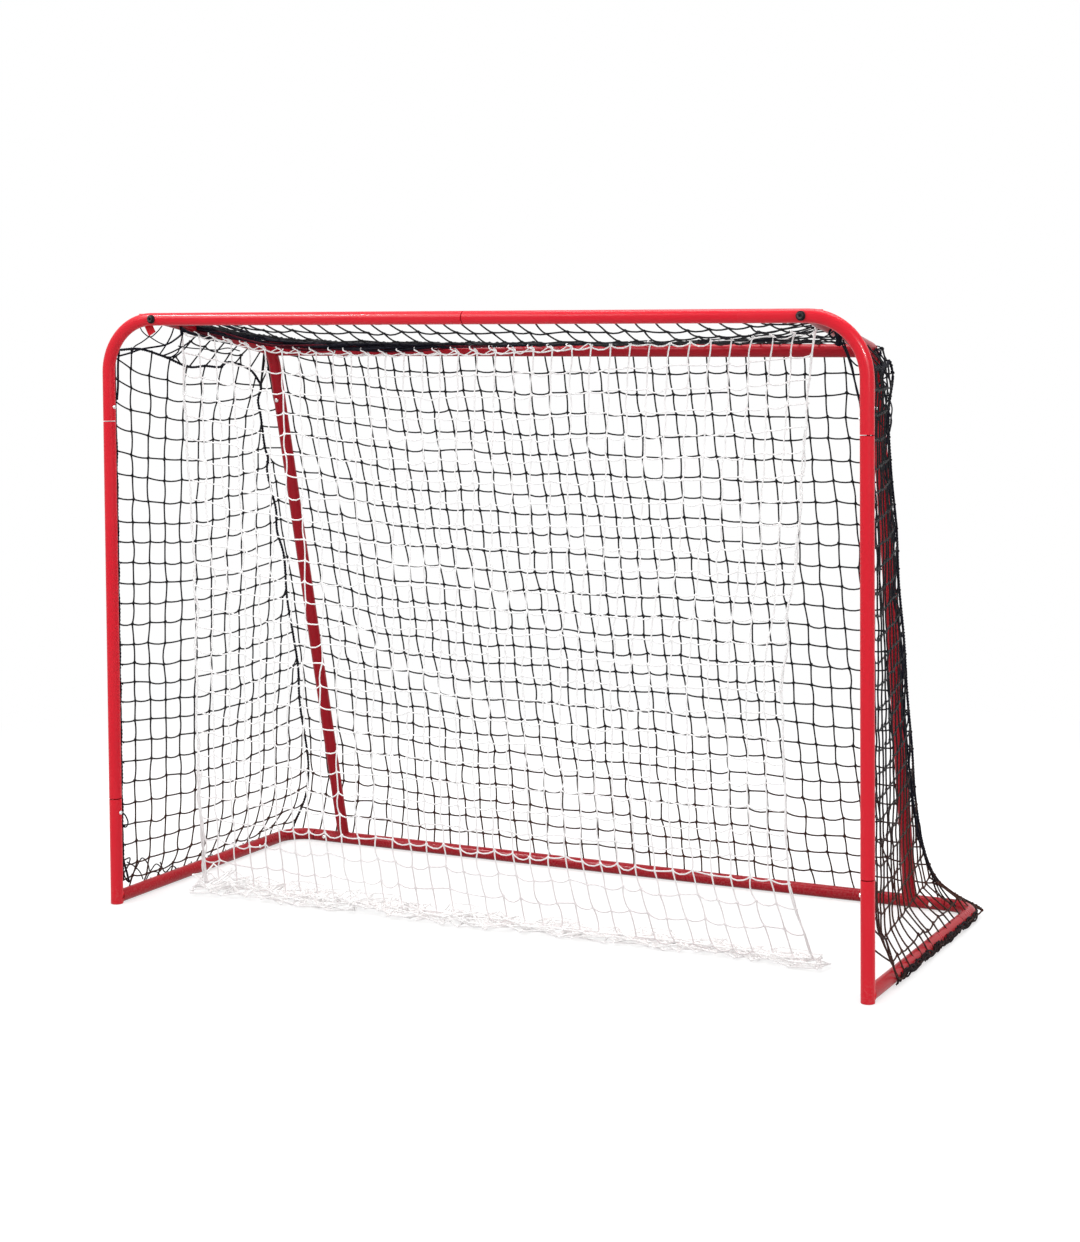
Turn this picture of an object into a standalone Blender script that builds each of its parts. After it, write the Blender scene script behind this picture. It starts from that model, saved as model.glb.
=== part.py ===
"""A knock-down indoor goal: a round steel tube frame in plug-together sections,
held by sprung snap buttons, with an outer net on four sides, an inner drop net
hung from a head rope, and the cords that edge the nets.

The front faces -Y and the floor is at Z = 0. In the comments "depth" is measured
from the line through both front posts towards the back of the goal.
Run it with: blender --background --python part.py
"""
import math

import bmesh
import bpy
from mathutils import Matrix, Vector

# Frame sizes, in metres
OVERALL_WIDTH = 1.600
CLEAR_HEIGHT = 1.156
TUBE_DIAMETER = 0.025
TUBE_WALL = 0.0015
BASE_DEPTH = 0.646
ROOF_DEPTH = 0.400
ROOF_BAR_HEIGHT = 1.101
FRONT_BEND_RADIUS = 0.105
BASE_BEND_RADIUS = 0.056
ROOF_BEND_RADIUS = 0.050

# How far inside the posts' axes the rear frame stands
ARM_INSET_AT_CROSSBAR = 0.1135
ARM_INSET_AT_ROOF_BAR = 0.1235
UPRIGHT_INSET_AT_BASE = 0.1345
ARM_KNEE_DEPTH = 0.030

# Seams between the plug-together sections
POST_UPPER_SEAM_DROP = 0.188
POST_LOWER_SEAM = 0.211
CROSSBAR_SEAM_OFFSET = 0.015
SIDE_SEAM_DEPTH = 0.522
REAR_SEAM_FROM_SIDE = 0.0625
UPRIGHT_SEAM_DROP = 0.131
SEAM_GAP = 0.0003

# Swaged plugs and their snap buttons
PLUG_LENGTH = 0.065
PLUG_CLEARANCE = 0.00035
NECK_LENGTH = 0.004
BUTTON_FROM_SEAM = 0.027
BUTTON_RADIUS = 0.004
BUTTON_HOLE_RADIUS = 0.0046
BUTTON_PROUD = 0.0025
BUTTON_DOME = 0.0018
LEAF_LENGTH = 0.032
LEAF_WIDTH = 0.006
LEAF_THICKNESS = 0.0008

# Feet of the posts
FOOT_EDGE_ROUND = 0.003
FOOT_DISC = 0.003

# Bolts that hold the roof arms to the crossbar
BOLT_RADIUS = 0.003
BOLT_HOLE_RADIUS = 0.0033
BOLT_HEAD_RADIUS = 0.0065
BOLT_HEAD_HEIGHT = 0.0036
SADDLE_RADIUS = 0.0085
SADDLE_THICKNESS = 0.0025
PLATE_HEIGHT = 0.022
PLATE_THICKNESS = 0.004
PLATE_INBOARD = 0.013
PLATE_OUTBOARD = 0.030

# The tab on the left arm's end plate, measured outwards and up from its bolt
TAB_TIP_OUTWARD = 0.0176
TAB_TIP_HEIGHT = -0.0290
TAB_WIDTH = 0.017
TAB_LEAN = math.radians(28)
NUT_ACROSS_FLATS = 0.010
NUT_HEIGHT = 0.005
BOLT_THREAD_PAST_NUT = 0.002

# Nets and cords
NET_STRAND = 0.0038
NET_CLEARANCE = 0.0003
SEAM_CORD_RADIUS = 0.003
POST_CORD_RADIUS = 0.0022
HEAD_ROPE_RADIUS = 0.009
HEAD_ROPE_DEPTH = 0.125
HEAD_ROPE_SAG = 0.042
TIED_DOWN_SHARE = 0.7
DROP_NET_INSET = 0.1375
HEM_RADIUS = 0.013
CORNER_CORD_SAG = 0.024

# How far beside an upright's axis the corner cord falls, at each tenth of its height
CORD_BESIDE_UPRIGHT = {
    "left": (0.0643, 0.0653, 0.0634, 0.0625, 0.0655, 0.0676, 0.0737, 0.0758, 0.0899),
    "right": (0.0172, 0.0178, 0.0184, 0.0190, 0.0195, 0.0200, 0.0212, 0.0248, 0.0399),
}
POST_CORD_TOP_DROP = 0.038
POST_CORD_FOOT = 0.045
POST_CORD_ASIDE = 0.0065
BACK_NET_GAPS = (13, 10)
ROOF_NET_GAPS = (12, 3)
SIDE_NET_GAPS = (5, 10)
DROP_NET_GAPS = (11, 9)

# Working values that follow from the sizes
TUBE_RADIUS = TUBE_DIAMETER / 2
PLUG_RADIUS = TUBE_RADIUS - TUBE_WALL - PLUG_CLEARANCE
PLUG_BORE = PLUG_RADIUS - TUBE_WALL
POST_X = OVERALL_WIDTH / 2 - TUBE_RADIUS
CROSSBAR_HEIGHT = CLEAR_HEIGHT + TUBE_RADIUS
BASE_HEIGHT = TUBE_RADIUS
POST_UPPER_SEAM = CLEAR_HEIGHT - POST_UPPER_SEAM_DROP
UPRIGHT_SEAM_HEIGHT = ROOF_BAR_HEIGHT - UPRIGHT_SEAM_DROP
ARM_X_AT_CROSSBAR = POST_X - ARM_INSET_AT_CROSSBAR
ARM_X_AT_ROOF_BAR = POST_X - ARM_INSET_AT_ROOF_BAR
UPRIGHT_X_AT_BASE = POST_X - UPRIGHT_INSET_AT_BASE
DROP_NET_HALF = POST_X - DROP_NET_INSET
REAR_SEAM_X = POST_X - REAR_SEAM_FROM_SIDE
NET_OFFSET = TUBE_RADIUS + NET_CLEARANCE + NET_STRAND / 2
BUTTON_SEAT = math.sqrt(PLUG_BORE ** 2 - (LEAF_WIDTH / 2) ** 2) - 0.0003
FRONT_REACH = TUBE_RADIUS + SADDLE_THICKNESS + BOLT_HEAD_HEIGHT + 2 * SEAM_GAP
REAR_REACH = TUBE_RADIUS + NET_CLEARANCE + NET_STRAND
POST_LINE_Y = -(BASE_DEPTH + REAR_REACH - FRONT_REACH) / 2
TUBE_SIDES_RESOLUTION = 6
TINY = 1e-5

SIDES = {"left": -1, "right": 1}


def place(x, depth, height):
    """A point given by its width, depth behind the posts and height."""
    return Vector((x, depth + POST_LINE_Y, height))


def clear_scene():
    for thing in list(bpy.data.objects):
        bpy.data.objects.remove(thing, do_unlink=True)


def new_collection(name):
    collection = bpy.data.collections.new(name)
    bpy.context.scene.collection.children.link(collection)
    return collection


def new_material(name, colour, roughness, metallic=0.0):
    material = bpy.data.materials.new(name)
    material.use_nodes = True
    shader = material.node_tree.nodes["Principled BSDF"]
    shader.inputs["Base Color"].default_value = (*colour, 1.0)
    shader.inputs["Roughness"].default_value = roughness
    shader.inputs["Metallic"].default_value = metallic
    material.diffuse_color = (*colour, 1.0)
    return material


def add_object(name, mesh, collection, material=None):
    thing = bpy.data.objects.new(name, mesh)
    collection.objects.link(thing)
    if material is not None:
        mesh.materials.clear()
        mesh.materials.append(material)
    return thing


def shade_round(mesh, angle=35):
    mesh.shade_smooth()
    mesh.set_sharp_from_angle(angle=math.radians(angle))


# Tubes along a path

def fillet_path(corners, radius, steps):
    """The corners' path with each inner corner rounded to the given radius."""
    points = [corners[0]]
    for before, corner, after in zip(corners, corners[1:], corners[2:]):
        back = (before - corner).normalized()
        ahead = (after - corner).normalized()
        half = back.angle(ahead) / 2
        reach = radius / math.tan(half)
        centre = corner + (back + ahead).normalized() * (radius / math.sin(half))
        start = corner + back * reach - centre
        normal = start.cross(corner + ahead * reach - centre).normalized()
        sweep = math.pi - 2 * half
        for step in range(steps + 1):
            turn = Matrix.Rotation(sweep * step / steps, 3, normal)
            points.append(centre + turn @ start)
    points.append(corners[-1])
    return points


def swaged_path(points, plug_first, plug_last):
    """Points and radius factors, with a neck and a plug added at the ends asked for."""
    factor = PLUG_RADIUS / TUBE_RADIUS
    route = [(point, 1.0) for point in points]
    if plug_first:
        outward = (points[0] - points[1]).normalized()
        neck = points[0] + outward * (-NECK_LENGTH)
        route[0] = (neck, 1.0)
        route.insert(0, (points[0], factor))
        route.insert(0, (points[0] + outward * PLUG_LENGTH, factor))
    if plug_last:
        outward = (points[-1] - points[-2]).normalized()
        neck = points[-1] + outward * (-NECK_LENGTH)
        route[-1] = (neck, 1.0)
        route.append((points[-1], factor))
        route.append((points[-1] + outward * PLUG_LENGTH, factor))
    return route


def curve_mesh(name, route, radius, capped, resolution=TUBE_SIDES_RESOLUTION):
    """A mesh made from a round curve along the route of points and radius factors."""
    curve = bpy.data.curves.new(name + "_path", "CURVE")
    curve.dimensions = "3D"
    curve.bevel_depth = radius
    curve.bevel_resolution = resolution
    curve.use_fill_caps = capped
    curve.twist_mode = "MINIMUM"
    spline = curve.splines.new("POLY")
    spline.points.add(len(route) - 1)
    for spot, (point, factor) in zip(spline.points, route):
        spot.co = (*point, 1.0)
        spot.radius = factor
    holder = bpy.data.objects.new(name + "_path", curve)
    bpy.context.scene.collection.objects.link(holder)
    depsgraph = bpy.context.evaluated_depsgraph_get()
    mesh = bpy.data.meshes.new_from_object(holder.evaluated_get(depsgraph))
    mesh.name = name
    bpy.data.objects.remove(holder, do_unlink=True)
    bpy.data.curves.remove(curve)
    shape = bmesh.new()
    shape.from_mesh(mesh)
    bmesh.ops.remove_doubles(shape, verts=shape.verts, dist=TINY)
    shape.to_mesh(mesh)
    shape.free()
    return mesh


def hollow_tube(name, points, collection, material, plug_first=False, plug_last=False):
    """An open-ended steel tube: an open skin along the path, thickened inwards."""
    mesh = curve_mesh(name, swaged_path(points, plug_first, plug_last), TUBE_RADIUS, False)
    tube = add_object(name, mesh, collection, material)
    wall = tube.modifiers.new("wall", "SOLIDIFY")
    wall.thickness = TUBE_WALL
    wall.offset = -1.0
    wall.use_even_offset = True
    shade_round(mesh)
    return tube


def solid_cord(name, points, radius, collection, material, resolution=2):
    """A cord or rope as one round solid with closed ends."""
    mesh = curve_mesh(name, [(point, 1.0) for point in points], radius, True, resolution)
    shade_round(mesh, 50)
    return add_object(name, mesh, collection, material)


# Cutters

def add_cutter(mesh, name, cutters):
    cutter = add_object(name, mesh, cutters)
    cutter.hide_render = True
    cutter.display_type = "WIRE"
    return cutter


def cylinder_mesh(name, radius, start, end, sides=16, phase=0.0):
    """A closed cylinder between two points, turned by phase facets about its own axis."""
    shape = bmesh.new()
    span = end - start
    bmesh.ops.create_cone(
        shape, cap_ends=True, segments=sides, radius1=radius, radius2=radius, depth=span.length)
    shape.transform(Matrix.Rotation(2 * math.pi * phase / sides, 4, "Z"))
    turn = span.to_track_quat("Z", "Y").to_matrix().to_4x4()
    shape.transform(Matrix.Translation((start + end) / 2) @ turn)
    mesh = bpy.data.meshes.new(name)
    shape.to_mesh(mesh)
    shape.free()
    return mesh


def box_mesh(name, low, high):
    shape = bmesh.new()
    size = high - low
    scale = Matrix.Diagonal((*size, 1.0))
    bmesh.ops.create_cube(shape, size=1.0, matrix=Matrix.Translation((low + high) / 2) @ scale)
    mesh = bpy.data.meshes.new(name)
    shape.to_mesh(mesh)
    shape.free()
    return mesh


def cut(thing, cutter, operation="DIFFERENCE"):
    modifier = thing.modifiers.new(cutter.name, "BOOLEAN")
    modifier.operation = operation
    modifier.object = cutter
    modifier.solver = "EXACT"


# Snap buttons

def snap_button(name, pin_centre, towards_root, outward, collection, material):
    """A domed pin on a leaf spring. Its origin is the leaf's root, where it flexes."""
    profile_top = TUBE_RADIUS + BUTTON_PROUD - BUTTON_SEAT
    shoulder = profile_top - BUTTON_DOME
    shape = bmesh.new()
    pin = bmesh.ops.create_cone(
        shape, cap_ends=True, segments=12, radius1=BUTTON_RADIUS, radius2=BUTTON_RADIUS,
        depth=shoulder + LEAF_THICKNESS / 2,
        matrix=Matrix.Translation((0, 0, (shoulder - LEAF_THICKNESS / 2) / 2)))
    crown = max(pin["verts"], key=lambda vert: vert.co.z).co.z
    top = [face for face in shape.faces if all(abs(v.co.z - crown) < TINY for v in face.verts)]
    for share in (0.55, 1.0):
        bmesh.ops.inset_region(shape, faces=top, thickness=BUTTON_RADIUS * 0.3, depth=0.0)
        for face in top:
            for vert in face.verts:
                vert.co.z = shoulder + BUTTON_DOME * share
    pin_mesh = bpy.data.meshes.new(name + "_pin")
    shape.to_mesh(pin_mesh)
    shape.free()
    leaf = bmesh.new()
    tail = BUTTON_RADIUS + 0.0012
    low = Vector((-tail, -LEAF_WIDTH / 2, -LEAF_THICKNESS))
    high = Vector((LEAF_LENGTH, LEAF_WIDTH / 2, 0.0))
    matrix = Matrix.Translation((low + high) / 2) @ Matrix.Diagonal((*(high - low), 1.0))
    bmesh.ops.create_cube(leaf, size=1.0, matrix=matrix)
    mesh = bpy.data.meshes.new(name)
    leaf.to_mesh(mesh)
    leaf.free()
    along = towards_root.normalized()
    across = outward.cross(along).normalized()
    frame = Matrix((along, across, outward)).transposed().to_4x4()
    root = pin_centre + outward * BUTTON_SEAT + along * LEAF_LENGTH
    to_root = Matrix.Translation((-LEAF_LENGTH, 0, 0))
    mesh.transform(to_root)
    pin_mesh.transform(to_root)
    button = add_object(name, mesh, collection, material)
    button.matrix_world = Matrix.Translation(root) @ frame
    return button, pin_mesh


def join_pin(button, pin_mesh, cutters):
    """Welds the pin to its leaf."""
    pin = add_cutter(pin_mesh, button.name + "_pin", cutters)
    pin.matrix_world = button.matrix_world
    cut(button, pin, "UNION")


# Nets

def net_panel(name, surface, gaps, collection, material):
    """A square-mesh net: a grid laid on a surface, each edge made a strand."""
    shape = bmesh.new()
    bmesh.ops.create_grid(shape, x_segments=gaps[0], y_segments=gaps[1], size=0.5)
    for vert in shape.verts:
        vert.co = surface(vert.co.x + 0.5, vert.co.y + 0.5)
    mesh = bpy.data.meshes.new(name)
    shape.to_mesh(mesh)
    shape.free()
    net = add_object(name, mesh, collection, material)
    strands = net.modifiers.new("strands", "WIREFRAME")
    strands.thickness = NET_STRAND
    strands.offset = 0.0
    strands.use_boundary = True
    strands.use_replace = True
    strands.use_even_offset = False
    return net


def between(start, end, share):
    return start + (end - start) * share


def smooth_points(knots, count):
    """Points along a smooth curve through the knots."""
    ends = [2 * knots[0] - knots[1]] + list(knots) + [2 * knots[-1] - knots[-2]]
    points = []
    spans = len(knots) - 1
    for index in range(count):
        place_on = index / (count - 1) * spans
        span = min(int(place_on), spans - 1)
        t = place_on - span
        p0, p1, p2, p3 = ends[span:span + 4]
        points.append(0.5 * (2 * p1 + (p2 - p0) * t + (2 * p0 - 5 * p1 + 4 * p2 - p3) * t ** 2
                             + (3 * p1 - p0 - 3 * p2 + p3) * t ** 3))
    return points


clear_scene()
goal = new_collection("indoor_goal")
cutters = new_collection("cutters")

bright_red = new_material("bright_red_paint", (0.70, 0.02, 0.035), 0.28)
deep_red = new_material("deep_red_paint", (0.48, 0.012, 0.025), 0.32)
zinc = new_material("zinc_steel", (0.72, 0.71, 0.70), 0.30, 1.0)
black_plastic = new_material("black_plastic", (0.018, 0.018, 0.020), 0.45)
black_steel = new_material("black_steel", (0.03, 0.03, 0.032), 0.38, 0.8)
black_cord = new_material("black_cord", (0.012, 0.012, 0.016), 0.80)
white_cord = new_material("white_cord", (0.82, 0.81, 0.80), 0.75)

joints = []


def button_joint(name, socket, plug, seam, towards_socket, outward):
    """Drills the socket and its plug for one snap button, and adds the button."""
    centre = seam + towards_socket * BUTTON_FROM_SEAM
    reach = TUBE_RADIUS * 1.6
    drill = add_cutter(
        cylinder_mesh(name + "_drill", BUTTON_HOLE_RADIUS, centre + outward * BUTTON_RADIUS,
                      centre + outward * reach, phase=0.3),
        name + "_drill", cutters)
    cut(socket, drill)
    cut(plug, drill)
    button, pin_mesh = snap_button(name, centre, towards_socket, outward, goal, zinc)
    join_pin(button, pin_mesh, cutters)
    hinge_axis = towards_socket.cross(outward).normalized()
    joints.append((name, button.matrix_world.translation.copy(), hinge_axis))


# Front frame: two crossbar halves, each bent down into the head of a post
seam_x = CROSSBAR_SEAM_OFFSET
crossbars = {}
for side, sign in SIDES.items():
    plugged = side == "right"
    middle = place(seam_x + (SEAM_GAP if plugged else 0), 0, CROSSBAR_HEIGHT)
    corner = place(sign * POST_X, 0, CROSSBAR_HEIGHT)
    post_head = place(sign * POST_X, 0, POST_UPPER_SEAM)
    path = fillet_path([middle, corner, post_head], FRONT_BEND_RADIUS, 8)
    crossbars[side] = hollow_tube(
        side + "_crossbar_half", path, goal, bright_red, plug_first=plugged)

button_joint("crossbar_snap_button", crossbars["left"], crossbars["right"],
             place(seam_x, 0, CROSSBAR_HEIGHT), Vector((-1, 0, 0)), Vector((0, 1, 0)))

# Posts, with a plug at each end
posts = {}
for side, sign in SIDES.items():
    head = place(sign * POST_X, 0, POST_UPPER_SEAM - SEAM_GAP)
    foot = place(sign * POST_X, 0, POST_LOWER_SEAM + SEAM_GAP)
    posts[side] = hollow_tube(side + "_post", [head, foot], goal, bright_red, True, True)
    inward = Vector((-sign, 0, 0))
    button_joint(side + "_post_upper_snap_button", crossbars[side], posts[side],
                 place(sign * POST_X, 0, POST_UPPER_SEAM), Vector((0, 0, 1)), inward)

# Base sides: a post foot with the side tube welded behind it
base_sides = {}
for side, sign in SIDES.items():
    x = sign * POST_X
    foot = cylinder_mesh(side + "_base_side", TUBE_RADIUS, place(x, 0, 0),
                         place(x, 0, POST_LOWER_SEAM))
    stub = add_object(side + "_base_side", foot, goal, bright_red)
    shape = bmesh.new()
    shape.from_mesh(foot)
    rim = [edge for edge in shape.edges if all(vert.co.z < TINY for vert in edge.verts)]
    bmesh.ops.bevel(shape, geom=rim, offset=FOOT_EDGE_ROUND, segments=2, profile=0.5,
                    affect="EDGES", clamp_overlap=True)
    shape.to_mesh(foot)
    shape.free()
    side_tube = add_cutter(
        cylinder_mesh(side + "_side_tube", TUBE_RADIUS, place(x, 0, BASE_HEIGHT),
                      place(x, SIDE_SEAM_DEPTH, BASE_HEIGHT), phase=0.5),
        side + "_side_tube", cutters)
    cut(stub, side_tube, "UNION")
    bore = TUBE_RADIUS - TUBE_WALL
    stub_bore = add_cutter(
        cylinder_mesh(side + "_stub_bore", bore, place(x, 0, FOOT_DISC),
                      place(x, 0, POST_LOWER_SEAM + TUBE_RADIUS)), side + "_stub_bore", cutters)
    cut(stub, stub_bore)
    side_bore = add_cutter(
        cylinder_mesh(side + "_side_bore", bore, place(x, TUBE_WALL, BASE_HEIGHT),
                      place(x, SIDE_SEAM_DEPTH + TUBE_RADIUS, BASE_HEIGHT), phase=0.5),
        side + "_side_bore", cutters)
    cut(stub, side_bore)
    shade_round(foot)
    base_sides[side] = stub
    inward = Vector((-sign, 0, 0))
    button_joint(side + "_post_lower_snap_button", stub, posts[side],
                 place(x, 0, POST_LOWER_SEAM), Vector((0, 0, -1)), inward)

# Rear corners of the base, with a plug into the side tube and one into the rear bar
rear_corners = {}
for side, sign in SIDES.items():
    x = sign * POST_X
    path = fillet_path([place(x, SIDE_SEAM_DEPTH + SEAM_GAP, BASE_HEIGHT),
                        place(x, BASE_DEPTH, BASE_HEIGHT),
                        place(sign * (REAR_SEAM_X + SEAM_GAP), BASE_DEPTH, BASE_HEIGHT)],
                       BASE_BEND_RADIUS, 6)
    rear_corners[side] = hollow_tube(side + "_rear_corner", path, goal, deep_red, True, True)
    button_joint(side + "_side_tube_snap_button", base_sides[side], rear_corners[side],
                 place(x, SIDE_SEAM_DEPTH, BASE_HEIGHT), Vector((0, -1, 0)),
                 Vector((-sign, 0, 0)))

# Rear bar of the base
rear_bar = hollow_tube(
    "rear_base_bar",
    [place(-REAR_SEAM_X, BASE_DEPTH, BASE_HEIGHT), place(REAR_SEAM_X, BASE_DEPTH, BASE_HEIGHT)],
    goal, deep_red)
for side, sign in SIDES.items():
    button_joint(side + "_rear_bar_snap_button", rear_bar, rear_corners[side],
                 place(sign * REAR_SEAM_X, BASE_DEPTH, BASE_HEIGHT), Vector((-sign, 0, 0)),
                 Vector((0, -1, 0)))

# Roof bends: an arm back from the crossbar that turns down into an upright
plate_face = TUBE_RADIUS + SEAM_GAP + PLATE_THICKNESS + SEAM_GAP
roof_bends = {}
uprights = {}
roof_corner_path = {}
for side, sign in SIDES.items():
    start = place(sign * ARM_X_AT_CROSSBAR, 0, CROSSBAR_HEIGHT)
    knee = place(sign * ARM_X_AT_CROSSBAR, ARM_KNEE_DEPTH, CROSSBAR_HEIGHT)
    corner = place(sign * ARM_X_AT_ROOF_BAR, ROOF_DEPTH, ROOF_BAR_HEIGHT)
    base = place(sign * UPRIGHT_X_AT_BASE, BASE_DEPTH, BASE_HEIGHT)
    share = (ROOF_BAR_HEIGHT - UPRIGHT_SEAM_HEIGHT) / (ROOF_BAR_HEIGHT - BASE_HEIGHT)
    seam = between(corner, base, share)
    down = (base - corner).normalized()
    path = [start, knee] + fillet_path([knee, corner, seam], ROOF_BEND_RADIUS, 5)[1:]
    roof_corner_path[side] = path
    bend = hollow_tube(side + "_roof_bend", path, goal, deep_red)
    trim = add_cutter(
        box_mesh(side + "_arm_trim", start + Vector((-0.04, -0.04, -0.04)),
                 start + Vector((0.04, plate_face, 0.04))), side + "_arm_trim", cutters)
    cut(bend, trim)
    roof_bends[side] = bend
    upright = hollow_tube(side + "_upright", [seam + down * SEAM_GAP, base], goal, deep_red, True)
    cope = add_cutter(
        cylinder_mesh(side + "_foot_cope", TUBE_RADIUS + SEAM_GAP,
                      base - Vector((0.05, 0, 0)), base + Vector((0.05, 0, 0)), 24),
        side + "_foot_cope", cutters)
    cut(upright, cope)
    uprights[side] = upright
    forward = Vector((0, -1, 0))
    outward = (forward - down * forward.dot(down)).normalized()
    button_joint(side + "_upright_snap_button", bend, upright, seam, -down, outward)

# Roof bar, coped on to both roof bends
roof_bar_half = ARM_X_AT_ROOF_BAR - TUBE_RADIUS / 2
roof_bar = hollow_tube(
    "rear_roof_bar",
    [place(-roof_bar_half, ROOF_DEPTH, ROOF_BAR_HEIGHT),
     place(roof_bar_half, ROOF_DEPTH, ROOF_BAR_HEIGHT)], goal, deep_red)
for side, sign in SIDES.items():
    path = roof_corner_path[side]
    wide = [(point, 1.0) for point in path]
    saddle = add_cutter(
        curve_mesh(side + "_roof_saddle", wide, TUBE_RADIUS + SEAM_GAP, True),
        side + "_roof_saddle", cutters)
    cut(roof_bar, saddle)

# Bolted joints between the crossbar and the arms

def plate_outline(with_tab):
    """Corners of an arm's end plate, measured outwards and up from its bolt."""
    half = PLATE_HEIGHT / 2
    if not with_tab:
        return [(-PLATE_INBOARD, half), (PLATE_OUTBOARD, half), (PLATE_OUTBOARD, -half),
                (-PLATE_INBOARD, -half)]
    sine = math.sin(TAB_LEAN)
    cosine = math.cos(TAB_LEAN)
    outer = (TAB_TIP_OUTWARD + cosine * TAB_WIDTH / 2, TAB_TIP_HEIGHT - sine * TAB_WIDTH / 2)
    inner = (TAB_TIP_OUTWARD - cosine * TAB_WIDTH / 2, TAB_TIP_HEIGHT + sine * TAB_WIDTH / 2)
    outer_root = (outer[0] + (half - outer[1]) * sine / cosine, half)
    inner_root = (inner[0] + (-half - inner[1]) * sine / cosine, -half)
    return [(-PLATE_INBOARD, half), outer_root, outer, inner, inner_root,
            (-PLATE_INBOARD, -half)]


def plate_mesh(name, outline, sign, centre, rear_face):
    """A flat plate with the outline, standing just behind the crossbar."""
    shape = bmesh.new()
    corners = [shape.verts.new(centre + Vector((sign * outward, rear_face, up)))
               for outward, up in outline]
    face = shape.faces.new(corners)
    rear = bmesh.ops.extrude_face_region(shape, geom=[face])
    moved = [item for item in rear["geom"] if isinstance(item, bmesh.types.BMVert)]
    bmesh.ops.translate(shape, verts=moved, vec=(0, PLATE_THICKNESS, 0))
    bmesh.ops.recalc_face_normals(shape, faces=shape.faces)
    mesh = bpy.data.meshes.new(name)
    shape.to_mesh(mesh)
    shape.free()
    return mesh


for side, sign in SIDES.items():
    centre = place(sign * ARM_X_AT_CROSSBAR, 0, CROSSBAR_HEIGHT)
    back = Vector((0, 1, 0))
    drill = add_cutter(
        cylinder_mesh(side + "_bolt_drill", BOLT_HOLE_RADIUS, centre - back * 0.03,
                      centre + back * 0.03), side + "_bolt_drill", cutters)
    cut(crossbars[side], drill)

    rear_face = TUBE_RADIUS + SEAM_GAP
    outline = plate_outline(side == "left")
    plate = add_object(
        side + "_arm_end_plate",
        plate_mesh(side + "_arm_end_plate", outline, sign, centre, rear_face), goal, bright_red)
    edges_eased = plate.modifiers.new("eased", "BEVEL")
    edges_eased.width = 0.0008
    edges_eased.segments = 1
    cut(plate, drill)

    saddle_mesh = cylinder_mesh(side + "_saddle_washer", SADDLE_RADIUS,
                                centre - back * (TUBE_RADIUS + SADDLE_THICKNESS),
                                centre - back * (TUBE_RADIUS * 0.6), 20)
    saddle = add_object(side + "_saddle_washer", saddle_mesh, goal, black_plastic)
    seat = add_cutter(
        cylinder_mesh(side + "_washer_seat", TUBE_RADIUS + SEAM_GAP,
                      centre - Vector((0.03, 0, 0)), centre + Vector((0.03, 0, 0)), 24),
        side + "_washer_seat", cutters)
    cut(saddle, seat)
    cut(saddle, drill)
    shade_round(saddle_mesh)

    head_back = TUBE_RADIUS + SADDLE_THICKNESS + SEAM_GAP
    nut_face = rear_face + PLATE_THICKNESS + SEAM_GAP
    shank_end = nut_face + NUT_HEIGHT + BOLT_THREAD_PAST_NUT
    profile = [(0.0, shank_end), (BOLT_RADIUS - 0.0005, shank_end),
               (BOLT_RADIUS, shank_end - 0.0005), (BOLT_RADIUS, -head_back),
               (BOLT_HEAD_RADIUS, -head_back), (BOLT_HEAD_RADIUS, -head_back - 0.0012),
               (BOLT_HEAD_RADIUS * 0.86, -head_back - 0.0026),
               (BOLT_HEAD_RADIUS * 0.55, -head_back - BOLT_HEAD_HEIGHT),
               (0.0, -head_back - BOLT_HEAD_HEIGHT)]
    shape = bmesh.new()
    ring = [shape.verts.new((radius, 0.0, height)) for radius, height in profile]
    for first, second in zip(ring, ring[1:]):
        shape.edges.new((first, second))
    bolt_mesh = bpy.data.meshes.new(side + "_arm_bolt")
    shape.to_mesh(bolt_mesh)
    shape.free()
    bolt = add_object(side + "_arm_bolt", bolt_mesh, goal, black_steel)
    bolt.matrix_world = Matrix.Translation(centre) @ Matrix.Rotation(math.radians(-90), 4, "X")
    screw = bolt.modifiers.new("turned", "SCREW")
    screw.steps = 16
    screw.render_steps = 16
    screw.use_merge_vertices = True
    screw.merge_threshold = 0.00005
    socket = add_cutter(
        cylinder_mesh(side + "_hex_socket", 0.0023, centre - back * (head_back + 0.0014),
                      centre - back * (head_back + 0.01), 6), side + "_hex_socket", cutters)
    cut(bolt, socket)

    nut_mesh = cylinder_mesh(side + "_arm_nut", NUT_ACROSS_FLATS / 2 / math.cos(math.pi / 6),
                             centre + back * nut_face,
                             centre + back * (nut_face + NUT_HEIGHT), 6)
    nut = add_object(side + "_arm_nut", nut_mesh, goal, zinc)
    cut(nut, drill)

# Corner cords: each runs back under an arm, round the roof corner and down to the base
seam_foot = {}
seam_head = {}
cord_front = {}
for side, sign in SIDES.items():
    outer = POST_X + NET_OFFSET
    seam_foot[side] = place(sign * (outer - 0.0070), BASE_DEPTH + NET_OFFSET - 0.0080, 0.010)
    seam_head[side] = place(sign * (ARM_X_AT_ROOF_BAR + 0.026), ROOF_DEPTH + 0.013,
                            ROOF_BAR_HEIGHT - 0.016)
    cord_front[side] = place(sign * (POST_X - 0.0085), TUBE_RADIUS + 0.0060,
                             CROSSBAR_HEIGHT - 0.061)


def roof_edge(side, share):
    """The corner cord's stretch under an arm, from the post to the roof corner."""
    point = between(cord_front[side], seam_head[side], share)
    return point - Vector((0, 0, CORNER_CORD_SAG * 4 * share * (1 - share)))


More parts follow.
